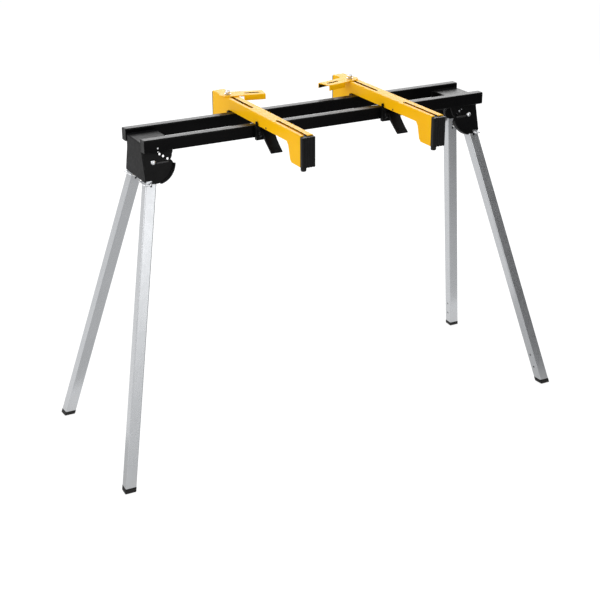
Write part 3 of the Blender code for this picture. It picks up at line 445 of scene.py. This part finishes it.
# Pivot pins: zinc-plated steel rivets with a domed head outside and a spun-over tail.
# Each goes through two plates and a leg.
FOOT_SPREAD = (0.180, 0.200)
PIVOT = (0.470, 0.038, 0.785)
TILT = math.atan2(FOOT_SPREAD[1], PIVOT[2])
SPLAY = math.atan2(FOOT_SPREAD[0], PIVOT[2] / math.cos(TILT))
PLATE_OUTER = 0.0171
GAP = 0.0003


def leg_sides(leg):
    """-1 or 1 for the leg's end (left or right) and for its row (front or rear)."""
    return (-1 if leg.endswith("left") else 1, -1 if leg.startswith("front") else 1)


def hinge_plane(leg):
    """Axes of a leg's hinge: toward the beam's middle, down the tilted plane, and out of it."""
    side_x, side_y = leg_sides(leg)
    rows = ((-side_x, 0.0, 0.0, side_x * PIVOT[0]),
            (0.0, side_y * math.sin(TILT), side_y * math.cos(TILT), BEAM_Y + side_y * PIVOT[1]),
            (0.0, -math.cos(TILT), math.sin(TILT), PIVOT[2]))
    return Matrix((*rows, (0.0, 0.0, 0.0, 1.0)))


def stack(loops):
    """A closed solid through matching loops of points."""
    shape = bmesh.new()
    rings = [[shape.verts.new(point) for point in loop] for loop in loops]
    count = len(rings[0])
    for lower, upper in zip(rings, rings[1:]):
        for i in range(count):
            j = (i + 1) % count
            shape.faces.new((lower[i], lower[j], upper[j], upper[i]))
    shape.faces.new(list(reversed(rings[0])))
    shape.faces.new(rings[-1])
    return shape


def turned(profile, axes, sides=48):
    """A solid of revolution from (radius, height) pairs about the third axis."""
    turns = [2 * math.pi * i / sides for i in range(sides)]
    return stack([[axes @ Vector((radius * math.cos(turn), radius * math.sin(turn), height))
                   for turn in turns] for radius, height in profile])


def dome(radius, low, high, steps=8, least=0.0004):
    """The profile of a domed head from its rim up to its crown."""
    points = []
    for step in range(steps + 1):
        angle = math.pi / 2 * step / steps
        points.append((max(radius * math.cos(angle), least), low + (high - low) * math.sin(angle)))
    return points


def plated_steel(name, dark, light, smooth, rough):
    """Bright zinc plate: faint cloudy patches, fine scratches and a crisp gloss."""
    material, tree, shader, place = start_material(name)
    shader.inputs["Metallic"].default_value = 1.0
    cloud = spread(tree, noise(tree, place, 160.0, 4.0), 0.0, 1.0)
    tree.links.new(colour_between(tree, cloud, dark, light), shader.inputs["Base Color"])
    scratches = noise(tree, drawn_out(tree, place, (0.4, 0.3, 0.7), (14.0, 1.0, 1.0)), 1400.0, 3.0)
    tree.links.new(spread(tree, scratches, smooth, rough), shader.inputs["Roughness"])
    relief(tree, shader, scratches, 0.000003)
    return material


bright_zinc = plated_steel("bright_zinc", (0.66, 0.67, 0.69), (0.78, 0.79, 0.81), 0.12, 0.19)
for leg in LEGS:
    shoulder = PLATE_OUTER + GAP
    profile = [(0.0030, -shoulder - 0.0021), (0.0036, -shoulder - 0.0025),
               (0.0048, -shoulder - 0.0022), (0.0057, -shoulder - 0.0014),
               (0.0060, -shoulder - 0.0005), (0.0060, -shoulder), (0.0040, -shoulder),
               (0.0040, shoulder), (0.0063, shoulder), (0.0065, shoulder + 0.0004),
               (0.0065, shoulder + 0.0011)]
    profile += dome(0.0061, shoulder + 0.0014, shoulder + 0.0040)
    finished(f"rivet_pin_{leg}", turned(profile, hinge_plane(leg)), bright_zinc, "beam",
             [f"pivot_pin_{leg}"])


# Pressed ribs and rail rivets: a swage stiffens each outer hinge plate beside its pin, and a
# small flush rivet at the left end of each rail holds the end cap's plug.
SWAGE_START = 0.0105
SWAGE_END = 0.0385
SWAGE_DROP = 0.003
SWAGE_HALF = 0.0031
RAIL_RIVET_X = -0.4639
RAIL_RIVET_Z = BEAM_TOP - 0.0228

# The swage's coat is painted lighter than the plate's coat, as a painted highlight along the rib.
rib_enamel = powder_coat("rib_enamel", (0.012, 0.012, 0.0125), (0.022, 0.022, 0.023),
                         0.22, 0.32, 0.35, worn_and_highlit_edge=(0.085, 0.085, 0.087))
for leg in LEGS:
    plane = hinge_plane(leg)
    loops = []
    for inset, height in ((0.0, -0.0002), (0.0, 0.0004), (0.0003, 0.0009), (0.0008, 0.0014),
                          (0.0015, 0.0018), (0.0024, 0.0020)):
        radius = SWAGE_HALF - inset
        loop = []
        for centre, start in ((SWAGE_START, 90.0), (SWAGE_END, -90.0)):
            for step in range(13):
                turn = math.radians(start + 15.0 * step)
                loop.append(plane @ Vector((centre + radius * math.cos(turn),
                                            SWAGE_DROP + radius * math.sin(turn),
                                            PLATE_OUTER + height)))
        loops.append(loop)
    finished(f"plate_swage_{leg}", stack(loops), rib_enamel, "beam")
    if leg.endswith("right"):
        continue
    side_y = leg_sides(leg)[1]
    face = Matrix(((1, 0, 0, RAIL_RIVET_X), (0, 0, side_y, BEAM_Y + side_y * BEAM_HALF_WIDTH),
                   (0, 1, 0, RAIL_RIVET_Z), (0, 0, 0, 1)))
    profile = [(0.0022, -0.0004), (0.0022, 0.00004), (0.0019, 0.00010), (0.0004, 0.00014)]
    finished(f"rail_rivet_{leg}", turned(profile, face, 32), bright_zinc, "beam")


# Lock bails: zinc-plated spring wire, bent so that both ends are lock pins through the leg
# and the bar outside the leg is the pull.
WIRE_RADIUS = 0.00225
BAIL_BEND = 0.005


def leg_plane(leg):
    """The same plane turned to the leg: across it, down along it, and out of it."""
    return hinge_plane(leg) @ Matrix.Rotation(SPLAY, 4, "Z")


def bent_path(corners, radius, steps=8):
    """A path through corner points, each inner corner rounded to the radius."""
    path = [corners[0]]
    for before, corner, after in zip(corners, corners[1:], corners[2:]):
        back = (before - corner).normalized()
        ahead = (after - corner).normalized()
        half = back.angle(ahead) / 2
        centre = corner + (back + ahead).normalized() * (radius / math.sin(half))
        start = corner + back * (radius / math.tan(half)) - centre
        end = corner + ahead * (radius / math.tan(half)) - centre
        sweep = start.angle(end)
        for step in range(steps + 1):
            share = step / steps
            first = math.sin((1 - share) * sweep) / math.sin(sweep)
            path.append(centre + start * first + end * (math.sin(share * sweep) / math.sin(sweep)))
    return path + [corners[-1]]


def wire(path, radius, sides=20):
    """A round wire along a path, with rounded ends."""
    ends = ((path[0] - path[1]).normalized(), (path[-1] - path[-2]).normalized())
    line = [(path[0] - ends[0] * radius * share, radius * size)
            for share, size in ((0.0, 0.45), (0.12, 0.75), (0.45, 1.0))]
    line += [(point, radius) for point in path[1:-1]]
    line += [(path[-1] - ends[1] * radius * share, radius * size)
             for share, size in ((0.45, 1.0), (0.12, 0.75), (0.0, 0.45))]
    loops = []
    side = None
    for i, (point, size) in enumerate(line):
        along = (line[min(i + 1, len(line) - 1)][0] - line[max(i - 1, 0)][0]).normalized()
        side = along.orthogonal() if side is None else side
        side = (side - along * side.dot(along)).normalized()
        across = along.cross(side)
        turns = [2 * math.pi * k / sides for k in range(sides)]
        loops.append([point + size * (side * math.cos(turn) + across * math.sin(turn))
                      for turn in turns])
    return stack(loops)


bail_corners = ((0.0, 0.0514, 0.0103), (0.0, 0.0514, 0.01975), (-0.006, 0.0584, 0.01975),
                (-0.0205, 0.0584, 0.01975), (-0.0205, 0.0481, -0.01975), (0.0, 0.0514, -0.01975),
                (0.0, 0.0514, -0.0103))
for leg in LEGS:
    plane = leg_plane(leg)
    path = bent_path([plane @ Vector(corner) for corner in bail_corners], BAIL_BEND)
    finished(f"bail_wire_{leg}", wire(path, WIRE_RADIUS), bright_zinc, f"bail_{leg}",
             [f"lock_bail_{leg}"], 60.0)


# Legs: square steel tube in a satin silver coat, with fine drawing lines along the tube, and darker
# in noisy patches toward the top, where it sits between the hinge plates.
def leg_turn(leg):
    """The leg's direction as a turn, for marks that run along the tube."""
    side_x, side_y = leg_sides(leg)
    along = Vector((side_x * FOOT_SPREAD[0], side_y * FOOT_SPREAD[1], -PIVOT[2])).normalized()
    across = Vector((-side_x, 0.0, 0.0))
    across = (across - along * across.dot(along)).normalized()
    return Matrix((across, along.cross(across), along)).transposed().to_euler()


def satin_silver(name, leg):
    material, tree, shader, place = start_material(name)
    shader.inputs["Metallic"].default_value = 0.9
    lines = noise(tree, drawn_out(tree, place, leg_turn(leg), (1.0, 1.0, 70.0)), 620.0, 4.0, 0.6)
    drift = noise(tree, place, 20.0, 5.0, 0.6)
    tone = reckon(tree, "ADD", reckon(tree, "MULTIPLY", lines, 0.5),
                  reckon(tree, "MULTIPLY", drift, 0.5))
    silver = colour_between(tree, spread(tree, tone, 0.0, 1.0, 0.38, 0.62),
                            (0.472, 0.484, 0.499), (0.500, 0.511, 0.527))
    height = tree.nodes.new("ShaderNodeSeparateXYZ")
    tree.links.new(place, height.inputs["Vector"])
    # Darker toward the top of the leg, between the hinge plates, in noisy patches.
    darker_top = spread(tree, height.outputs["Z"], 0.0, 0.45, PIVOT[2] - 0.075, PIVOT[2] - 0.045)
    darker_top = reckon(tree, "MULTIPLY", darker_top, spread(tree, noise(tree, place, 150.0, 4.0), 0.2, 1.0))
    dust = spread(tree, height.outputs["Z"], 0.28, 0.0, 0.012, 0.075)
    dust = reckon(tree, "MULTIPLY", dust,
                  spread(tree, noise(tree, place, 60.0, 5.0, 0.65), 0.0, 1.0))
    silver = colour_between(tree, darker_top, silver, (0.33, 0.335, 0.345))
    tree.links.new(colour_between(tree, dust, silver, (0.42, 0.41, 0.39)),
                   shader.inputs["Base Color"])
    satin = spread(tree, noise(tree, place, 45.0, 3.0, 0.6), 0.25, 0.30)
    tree.links.new(reckon(tree, "ADD", satin, reckon(tree, "MULTIPLY", dust, 0.4)),
                   shader.inputs["Roughness"])
    relief(tree, shader, lines, 0.0000008)
    return material


for leg in LEGS:
    dress([f"leg_tube_{leg}"], satin_silver(f"leg_silver_{leg}", leg))


# Feet: black rubber caps pushed over the tube ends to stand flat, with a groove near the top,
# a rounded sole edge and tread bars in a shallow recess underneath.
FOOT_HEIGHT = 0.012
FOOT_HALF = 0.0147
FOOT_CORNER = 0.0027
SOLE_RECESS = 0.0009
TREAD_REACH = 0.0086
TREAD_HEIGHT = 0.0008


def soft_rubber(name, dusty_below):
    """Matt rubber with a fine skin, dustier toward the ground."""
    material, tree, shader, place = start_material(name)
    shader.inputs["Specular IOR Level"].default_value = 0.22
    height = tree.nodes.new("ShaderNodeSeparateXYZ")
    tree.links.new(place, height.inputs["Vector"])
    low = spread(tree, height.outputs["Z"], 1.0, 0.15, 0.0, dusty_below)
    dust = spread(tree, noise(tree, place, 110.0, 5.0, 0.65), 0.0, 1.0)
    dust = reckon(tree, "MULTIPLY", dust, low)
    tree.links.new(colour_between(tree, dust, (0.006, 0.006, 0.006), (0.030, 0.028, 0.026)),
                   shader.inputs["Base Color"])
    tree.links.new(spread(tree, dust, 0.52, 0.85, 0.0, 1.0), shader.inputs["Roughness"])
    relief(tree, shader, noise(tree, place, 1100.0, 3.0), 0.00007)
    return material


def rounded_square(half, corner, steps=6):
    points = []
    for side_a, side_b, start in ((1, 1, 0), (-1, 1, 90), (-1, -1, 180), (1, -1, 270)):
        for step in range(steps + 1):
            turn = math.radians(start + 90 * step / steps)
            points.append((side_a * (half - corner) + corner * math.cos(turn),
                           side_b * (half - corner) + corner * math.sin(turn)))
    return points


def level_loop(plane, half, corner, height):
    """The leg's section, cut level at a height above the ground."""
    loop = []
    down = (plane @ Vector((0.0, 1.0, 0.0))) - plane.translation
    for across, outward in rounded_square(half, corner):
        start = plane @ Vector((across, 0.0, outward))
        loop.append(start + down * ((height - start.z) / down.z))
    return loop


black_rubber = soft_rubber("black_rubber", FOOT_HEIGHT)
for leg in LEGS:
    plane = leg_plane(leg)
    rings = ((-0.0034, SOLE_RECESS), (-0.0032, 0.0), (-0.0009, 0.0), (-0.0003, 0.0002),
             (0.0, 0.0009), (0.0, 0.0084), (-0.0004, 0.0089), (-0.0004, 0.0093), (0.0, 0.0098),
             (0.0, FOOT_HEIGHT - 0.0009), (-0.0003, FOOT_HEIGHT - 0.0002), (-0.0009, FOOT_HEIGHT),
             (-0.0022, FOOT_HEIGHT), (-0.0022, FOOT_HEIGHT + 0.024), (-0.0030, FOOT_HEIGHT + 0.026))
    loops = [level_loop(plane, FOOT_HALF + inset, max(FOOT_CORNER + inset, 0.0008), height)
             for inset, height in rings]
    finished(f"rubber_foot_{leg}", stack(loops), black_rubber, f"leg_{leg}",
             [f"foot_{leg}"], 50.0)
    middle = sum(loops[1], Vector()) / len(loops[1])
    bar = bmesh.new()
    bmesh.ops.create_cube(bar, size=1.0)
    bmesh.ops.scale(bar, vec=(0.0206, 0.0018, 0.0014), verts=bar.verts)
    bmesh.ops.bevel(bar, geom=bar.edges[:], offset=0.0004, segments=2, profile=0.5, affect="EDGES")
    low = (middle.x, middle.y - TREAD_REACH, TREAD_HEIGHT)
    high = (middle.x, middle.y + TREAD_REACH, TREAD_HEIGHT)
    row_of(f"tread_{leg}", bar, low, high, 5, black_rubber, f"leg_{leg}")
    bar.free()


# Saw brackets and swivel arms: folded steel channel, slotted and powder coated yellow. The punched
# edges are paler, partly thin coat and partly a painted highlight, and the insides of the channels
# are painted near black as painted shade.
CHANNEL_REACH = 0.045

# The cream edge colour is partly thin coat and partly a painted highlight.
bracket_enamel = powder_coat("bracket_enamel", (0.95, 0.490, 0.0040), (0.985, 0.530, 0.0055),
                             0.28, 0.38, 0.05, worn_and_highlit_edge=(0.92, 0.60, 0.09), edge=0.6)
tree = bracket_enamel.node_tree
shader = tree.nodes["Principled BSDF"]
# Faces that look onto another face of the channel within reach are painted near black as painted
# shade.
inside_shade = tree.nodes.new("ShaderNodeAttribute")
inside_shade.attribute_name = "uncoated_inside"
coat = shader.inputs["Base Color"].links[0].from_socket
tree.links.new(colour_between(tree, inside_shade.outputs["Fac"], coat, (0.030, 0.022, 0.006)),
               shader.inputs["Base Color"])
for end in ENDS:
    for part in ("bracket", "arm"):
        shape = node_shape(f"{part}_{end}")
        inside = shape.faces.layers.float.new("uncoated_inside")
        search = BVHTree.FromBMesh(shape)
        for face in shape.faces:
            start = face.calc_center_median() + face.normal * 0.0002
            if search.ray_cast(start, face.normal, CHANNEL_REACH)[0] is not None:
                face[inside] = 1.0
        softened(f"{part}_{end}", PRESSED_EDGE, bracket_enamel, shape)


# Bracket end caps and bumpers: ribbed plastic caps pressed into the channels, and a turned
# rubber bumper with a groove under each front cap.
BRACKET_X = (-0.175, 0.196)
BUMPER_SPOT = (-0.0115, -0.3128)
BUMPER_SEAT_Z = BEAM_TOP - 0.0483

for end in ENDS:
    softened(f"front_cap_{end}", 0.0004, cap_plastic)
    softened(f"rear_cap_{end}", 0.0006, cap_plastic)
bumper_rubber = soft_rubber("bumper_rubber", 0.0001)
for end, centre in zip(ENDS, BRACKET_X):
    seat = Matrix.Translation((centre + BUMPER_SPOT[0], BEAM_Y + BUMPER_SPOT[1], BUMPER_SEAT_Z))
    profile = [(0.0012, -0.0088), (0.0044, -0.0088), (0.0056, -0.0085), (0.0065, -0.0077),
               (0.0070, -0.0064), (0.0072, -0.0050), (0.0072, -0.0031), (0.0066, -0.0026),
               (0.0066, -0.0020), (0.0072, -0.0015), (0.0072, -0.0004), (0.0069, 0.0),
               (0.0020, 0.0), (0.0020, 0.0058), (0.0014, 0.0060)]
    finished(f"rubber_bumper_{end}", turned(profile, seat), bumper_rubber, f"bracket_{end}",
             [f"bumper_{end}"])


# Clamps: glass-filled nylon block, lever and rear hook with moulded ribs and lugs, a
# rubber-faced pad, and a blackened hinge pin and rivet.
CLAMP_PIVOT = (-0.0935, -0.017)
LEVER_SLOPE = math.radians(38.5)
LEVER_MIDDLE = 0.002
FORK_HALF = 0.0227
TONGUE_HALF = 0.018
TONGUE_SPOT = (-0.126, 0.004)
HOOK_FACE = BEAM_HALF_WIDTH + 0.0153
HOOK_RIB_REACH = 0.019
HOOK_RIB_Z = BEAM_TOP - 0.0175
LUG_SPOT = (0.0219, -0.0805, 0.0042)

clamp_plastic = moulded_plastic("clamp_plastic", (0.0030, 0.0030, 0.0031), (0.0055, 0.0055, 0.0058),
                                0.30, 0.44, 0.07, 0.00003)


def rounded_bar(length, width, height, turn=0.0):
    """A small moulded rib, lying along X and tipped about it."""
    shape = bmesh.new()
    bmesh.ops.create_cube(shape, size=1.0)
    bmesh.ops.scale(shape, vec=(length, width, height), verts=shape.verts)
    bmesh.ops.bevel(shape, geom=shape.edges[:], offset=min(width, height) * 0.36, segments=3,
                    profile=0.5, affect="EDGES")
    bmesh.ops.rotate(shape, cent=(0, 0, 0), matrix=Matrix.Rotation(turn, 3, "X"), verts=shape.verts)
    return shape


black_steel = powder_coat("black_steel", (0.006, 0.006, 0.0065), (0.012, 0.012, 0.013),
                          0.20, 0.34, 0.3)
for end, centre in zip(ENDS, BRACKET_X):
    softened(f"clamp_block_{end}", 0.0005, clamp_plastic)
    softened(f"clamp_lever_{end}", 0.0008, clamp_plastic, steps=3)
    softened(f"rail_hook_{end}", 0.0007, clamp_plastic, steps=3)
    softened(f"clamp_pad_{end}", 0.0005, bumper_rubber)

    pivot = Vector((centre, BEAM_Y + CLAMP_PIVOT[0], BEAM_TOP + CLAMP_PIVOT[1]))
    axle = Matrix(((0, 0, 1, pivot.x), (1, 0, 0, pivot.y), (0, 1, 0, pivot.z), (0, 0, 0, 1)))
    low = LEVER_MIDDLE - FORK_HALF
    high = LEVER_MIDDLE + FORK_HALF
    profile = [(0.0022, low - 0.0016), (0.0034, low - 0.0013), (0.0039, low - 0.0007),
               (0.0039, low), (0.0030, low), (0.0030, high), (0.0039, high),
               (0.0039, high + 0.0007), (0.0034, high + 0.0013), (0.0022, high + 0.0016)]
    finished(f"hinge_pin_{end}", turned(profile, axle, 32), black_steel, f"bracket_{end}",
             [f"clamp_pin_{end}"])

    rib = rounded_bar(0.024, 0.0013, 0.0012, LEVER_SLOPE)
    down = Vector((0.0, -math.cos(LEVER_SLOPE), -math.sin(LEVER_SLOPE)))
    above = Vector((0.0, -math.sin(LEVER_SLOPE), math.cos(LEVER_SLOPE)))
    middle = pivot + Vector((LEVER_MIDDLE, 0.0, 0.0))
    first = middle + down * 0.050 + above * 0.0029
    last = middle + down * 0.062 + above * 0.0032
    row_of(f"grip_ribs_{end}", rib, first, last, 5, clamp_plastic, f"lever_{end}")
    rib.free()

    rib = rounded_bar(0.0016, 0.0016, 0.028)
    first = (centre - HOOK_RIB_REACH, BEAM_Y + HOOK_FACE, HOOK_RIB_Z)
    last = (centre + HOOK_RIB_REACH, BEAM_Y + HOOK_FACE, HOOK_RIB_Z)
    row_of(f"hook_ribs_{end}", rib, first, last, 5, clamp_plastic, f"bracket_{end}")
    rib.free()

    across = Matrix(((0, 0, 1, centre), (1, 0, 0, BEAM_Y + TONGUE_SPOT[0]),
                     (0, 1, 0, BEAM_TOP + TONGUE_SPOT[1]), (0, 0, 0, 1)))
    half = TONGUE_HALF
    profile = [(0.0004, -half - 0.0013), (0.0012, -half - 0.00125), (0.0021, -half - 0.0009),
               (0.0027, -half - 0.0003), (0.0027, -half + 0.0002), (0.0015, -half + 0.0002),
               (0.0015, half - 0.0002), (0.0027, half - 0.0002), (0.0027, half + 0.0003),
               (0.0021, half + 0.0009), (0.0012, half + 0.00125), (0.0004, half + 0.0013)]
    finished(f"tongue_rivet_{end}", turned(profile, across, 32), black_steel, f"bracket_{end}")

    for side in (-1, 1):
        lug = rounded_bar(0.0056, 0.0064, 0.0140)
        bmesh.ops.translate(lug, verts=lug.verts,
                            vec=(centre + side * LUG_SPOT[0], BEAM_Y + LUG_SPOT[1],
                                 BEAM_TOP + LUG_SPOT[2]))
        name = "outer" if side < 0 else "inner"
        finished(f"stop_lug_{name}_{end}", lug, clamp_plastic, f"bracket_{end}")


# Arm bolts: a cup-head bolt from below, a turned washer and a chamfered cap nut with a
# drawn dome, all zinc plated.
BOLT_Y = (0.128, 0.125)
BOLT_OFFSET = -0.004
ARM_TOP = 0.0328
BOLT_HEAD_TOP = 0.0272
THREAD_TOP = 0.0398
THREAD_PITCH = 0.00125
WASHER_SIDES = 64
NUT_SIDES = 120
NUT_FLATS = 0.013
NUT_HEX = 0.0062
NUT_DOME = 0.0050


def chamfered_hexagon(spot, turns, low, high):
    """Loops of a nut's hexagon with its corners turned off at both faces."""
    flat = NUT_FLATS / 2
    corner = flat / math.cos(math.pi / 6)
    loops = []
    heights = ((low, flat * 0.965), (low + 0.0005, flat * 1.06), (low + 0.0011, corner),
               (high - 0.0011, corner), (high - 0.0005, flat * 1.06), (high, flat * 0.965))
    for height, limit in heights:
        loop = []
        for turn in turns:
            from_flat = (turn + math.pi / 6) % (math.pi / 3) - math.pi / 6
            radius = min(flat / math.cos(from_flat), limit)
            loop.append(spot @ Vector((radius * math.sin(turn), radius * math.cos(turn), height)))
        loops.append(loop)
    return loops


for end, centre, bolt_y in zip(ENDS, BRACKET_X, BOLT_Y):
    spot = Matrix.Translation((centre + BOLT_OFFSET, BEAM_Y + bolt_y, BEAM_TOP))
    seat = BOLT_HEAD_TOP
    profile = [(0.0030, seat - 0.0040), (0.0050, seat - 0.0038), (0.0068, seat - 0.0031),
               (0.0080, seat - 0.0019), (0.0085, seat - 0.0007), (0.0085, seat), (0.0039, seat)]
    thread = seat + 0.0004
    while thread < THREAD_TOP:
        profile += [(0.0036, thread), (0.0039, thread + 0.0006)]
        thread += THREAD_PITCH
    profile += [(0.0034, 0.0402)]
    finished(f"cup_bolt_{end}", turned(profile, spot), bright_zinc, f"bolt_{end}",
             [f"arm_bolt_{end}"])

    low = ARM_TOP + GAP
    high = low + 0.0015
    ring = ((0.0042, low), (0.0083, low), (0.0085, low + 0.0003), (0.0085, high - 0.0003),
            (0.0083, high), (0.0044, high), (0.0042, high - 0.0002))
    shape = turned(ring, spot, WASHER_SIDES)
    caps = [item for item in shape.faces if len(item.verts) > 4]
    middle = spot.translation
    inner = [sorted(cap.verts, key=lambda v: math.atan2(v.co.y - middle.y, v.co.x - middle.x))
             for cap in caps]
    bmesh.ops.delete(shape, geom=caps, context="FACES_ONLY")
    for i in range(WASHER_SIDES):
        j = (i + 1) % WASHER_SIDES
        shape.faces.new((inner[0][i], inner[0][j], inner[1][j], inner[1][i]))
    finished(f"plain_washer_{end}", shape, bright_zinc, f"bolt_{end}",
             [f"arm_washer_{end}"])

    nut_low = high + GAP
    top = nut_low + NUT_HEX
    turns = [2 * math.pi * i / NUT_SIDES for i in range(NUT_SIDES)]
    loops = chamfered_hexagon(spot, turns, nut_low, top)
    for radius, height in [(0.0060, top + 0.0001)] + dome(0.0059, top + 0.0006, top + NUT_DOME):
        loops.append([spot @ Vector((radius * math.sin(turn), radius * math.cos(turn), height))
                      for turn in turns])
    finished(f"cap_nut_{end}", stack(loops), bright_zinc, f"bolt_{end}",
             [f"arm_nut_{end}"], 26.0)


# Floor: one pale seamless sheet under the stand. It glows faintly, so that it stays an even
# white, and glows less toward diffuse rays, so that it doesn't light the blacks from below.
FLOOR_HALF = 40.0
FLOOR_DROP = 0.0002
FLOOR_GLOW = 0.87
FLOOR_GLOW_BOUNCED = 0.50

floor_mesh = bpy.data.meshes.new("floor")
floor_shape = bmesh.new()
bmesh.ops.create_grid(floor_shape, x_segments=1, y_segments=1, size=FLOOR_HALF)
floor_shape.to_mesh(floor_mesh)
floor_shape.free()
floor = bpy.data.objects.new("floor", floor_mesh)
floor.location.z = -FLOOR_DROP
bpy.context.scene.collection.objects.link(floor)
floor_material, tree, shader, place = start_material("studio_floor")
tree.nodes.remove(shader)
output = tree.nodes["Material Output"]
paint = tree.nodes.new("ShaderNodeBsdfDiffuse")
paint.inputs["Color"].default_value = (0.22, 0.22, 0.22, 1.0)
glow = tree.nodes.new("ShaderNodeEmission")
glow.inputs["Color"].default_value = (1.0, 1.0, 1.0, 1.0)
lit = tree.nodes.new("ShaderNodeLightPath")
tree.links.new(spread(tree, lit.outputs["Is Diffuse Ray"], FLOOR_GLOW, FLOOR_GLOW_BOUNCED, 0.0, 1.0),
               glow.inputs["Strength"])
sheet = tree.nodes.new("ShaderNodeAddShader")
tree.links.new(paint.outputs["BSDF"], sheet.inputs[0])
tree.links.new(glow.outputs["Emission"], sheet.inputs[1])
tree.links.new(sheet.outputs["Shader"], output.inputs["Surface"])
floor_mesh.materials.append(floor_material)


# Studio: a white room seen by the camera and by the metal, a large softbox behind the stand,
# soft lamps to the left and low in front, and two cards that only the gloss sees.
AIM = Vector((0.0, 0.0, 0.75))
HORIZON = (1.18, 1.18, 1.19)
ZENITH = (0.36, 0.36, 0.37)

world = bpy.data.worlds.new("studio")
bpy.context.scene.world = world
world.use_nodes = True
tree = world.node_tree
background = tree.nodes["Background"]
direction = tree.nodes.new("ShaderNodeTexCoord")
rise = tree.nodes.new("ShaderNodeSeparateXYZ")
tree.links.new(direction.outputs["Generated"], rise.inputs["Vector"])
tree.links.new(colour_between(tree, spread(tree, rise.outputs["Z"], 0.0, 1.0, 0.0, 1.0),
                              HORIZON, ZENITH), background.inputs["Color"])
background.inputs["Strength"].default_value = 1.0
white = tree.nodes.new("ShaderNodeBackground")
white.inputs["Color"].default_value = (1.0, 1.0, 1.0, 1.0)
white.inputs["Strength"].default_value = 1.0
ray = tree.nodes.new("ShaderNodeLightPath")
seen = reckon(tree, "MAXIMUM", ray.outputs["Is Camera Ray"], ray.outputs["Is Glossy Ray"])
seen = reckon(tree, "MAXIMUM", seen, ray.outputs["Is Transmission Ray"])
choice = tree.nodes.new("ShaderNodeMixShader")
tree.links.new(seen, choice.inputs["Fac"])
tree.links.new(background.outputs["Background"], choice.inputs[1])
tree.links.new(white.outputs["Background"], choice.inputs[2])
tree.links.new(choice.outputs["Shader"], tree.nodes["World Output"].inputs["Surface"])


def lamp(name, azimuth, elevation, distance, size, radiance):
    """A soft rectangular lamp that faces the stand; azimuth 0 is behind it, 90 to its right."""
    turn = math.radians(azimuth)
    rise = math.radians(elevation)
    level = math.cos(rise)
    away = Vector((math.sin(turn) * level, math.cos(turn) * level, math.sin(rise)))
    light = bpy.data.lights.new(name, "AREA")
    light.shape = "RECTANGLE"
    light.size = size[0]
    light.size_y = size[1]
    light.energy = radiance * math.pi * size[0] * size[1]
    item = bpy.data.objects.new(name, light)
    item.location = AIM + away * distance
    item.rotation_euler = away.to_track_quat("Z", "Y").to_euler()
    bpy.context.scene.collection.objects.link(item)
    return item


lamp("back_softbox", 27.0, 27.0, 3.6, (3.4, 2.2), 3.5).data.diffuse_factor = 0.4
lamp("left_soft", -100.0, 25.0, 3.4, (2.0, 1.6), 2.9)
lamp("front_soft", 165.0, 9.0, 3.4, (1.5, 1.3), 1.3)


def card(name, corners, material):
    """A card that only the gloss sees: it shapes reflections and takes no light from anything."""
    shape = bmesh.new()
    shape.faces.new([shape.verts.new(corner) for corner in corners])
    mesh = bpy.data.meshes.new(name)
    shape.to_mesh(mesh)
    shape.free()
    mesh.materials.append(material)
    item = bpy.data.objects.new(name, mesh)
    item.visible_camera = False
    item.visible_diffuse = False
    item.visible_shadow = False
    bpy.context.scene.collection.objects.link(item)


def card_paper(name, left, right, from_x, to_x):
    """Paper that shows one even grey, or grades from a grey at one X to another."""
    material, tree, shader, place = start_material(name)
    shader.inputs["Base Color"].default_value = (0.0, 0.0, 0.0, 1.0)
    shader.inputs["Specular IOR Level"].default_value = 0.0
    shader.inputs["Emission Strength"].default_value = 1.0
    across = tree.nodes.new("ShaderNodeSeparateXYZ")
    tree.links.new(place, across.inputs["Vector"])
    tree.links.new(colour_between(tree, spread(tree, across.outputs["X"], 0.0, 1.0, from_x, to_x),
                                  left, right), shader.inputs["Emission Color"])
    return material


dark_paper = card_paper("dark_paper", (0.12, 0.12, 0.12), (0.09, 0.09, 0.09), 1.5, 3.2)
card("dark_card", ((1.55, -2.90, 0.0), (3.15, -0.75, 0.0), (3.15, -0.75, 1.7), (1.55, -2.90, 1.7)),
     dark_paper)
floor_paper = card_paper("floor_paper", (0.74, 0.74, 0.74), (0.28, 0.28, 0.28), 0.75, 1.2)
card("floor_card", ((-1.6, -3.4, 0.001), (3.2, -3.4, 0.001), (3.2, 0.16, 0.001),
                    (-1.6, 0.16, 0.001)), floor_paper)


# Camera: at the photograph's angle, a long lens from the stand's front left.
CAMERA_AZIMUTH = math.radians(-27.7829)
CAMERA_ELEVATION = math.radians(23.1588)
CAMERA_ROLL = math.radians(-0.2599)
CAMERA_PLACE = Vector((-1.6061, -2.9862 + BEAM_Y, 1.7536))
CAMERA_FOCAL_PIXELS = 1315.79
PICTURE_PIXELS = 600

camera_data = bpy.data.cameras.new("camera")
camera_data.sensor_width = 36.0
camera_data.lens = CAMERA_FOCAL_PIXELS / PICTURE_PIXELS * camera_data.sensor_width
camera = bpy.data.objects.new("camera", camera_data)
back = Vector((math.sin(CAMERA_AZIMUTH) * math.cos(CAMERA_ELEVATION),
               -math.cos(CAMERA_AZIMUTH) * math.cos(CAMERA_ELEVATION),
               math.sin(CAMERA_ELEVATION)))
right = Vector((math.cos(CAMERA_AZIMUTH), math.sin(CAMERA_AZIMUTH), 0.0))
up = back.cross(right)
rolled_right = right * math.cos(CAMERA_ROLL) + up * math.sin(CAMERA_ROLL)
rolled_up = up * math.cos(CAMERA_ROLL) - right * math.sin(CAMERA_ROLL)
turn = Matrix((rolled_right, rolled_up, back)).transposed().to_4x4()
camera.matrix_world = Matrix.Translation(CAMERA_PLACE) @ turn
bpy.context.scene.collection.objects.link(camera)
bpy.context.scene.camera = camera
bpy.context.scene.view_settings.view_transform = "Standard"
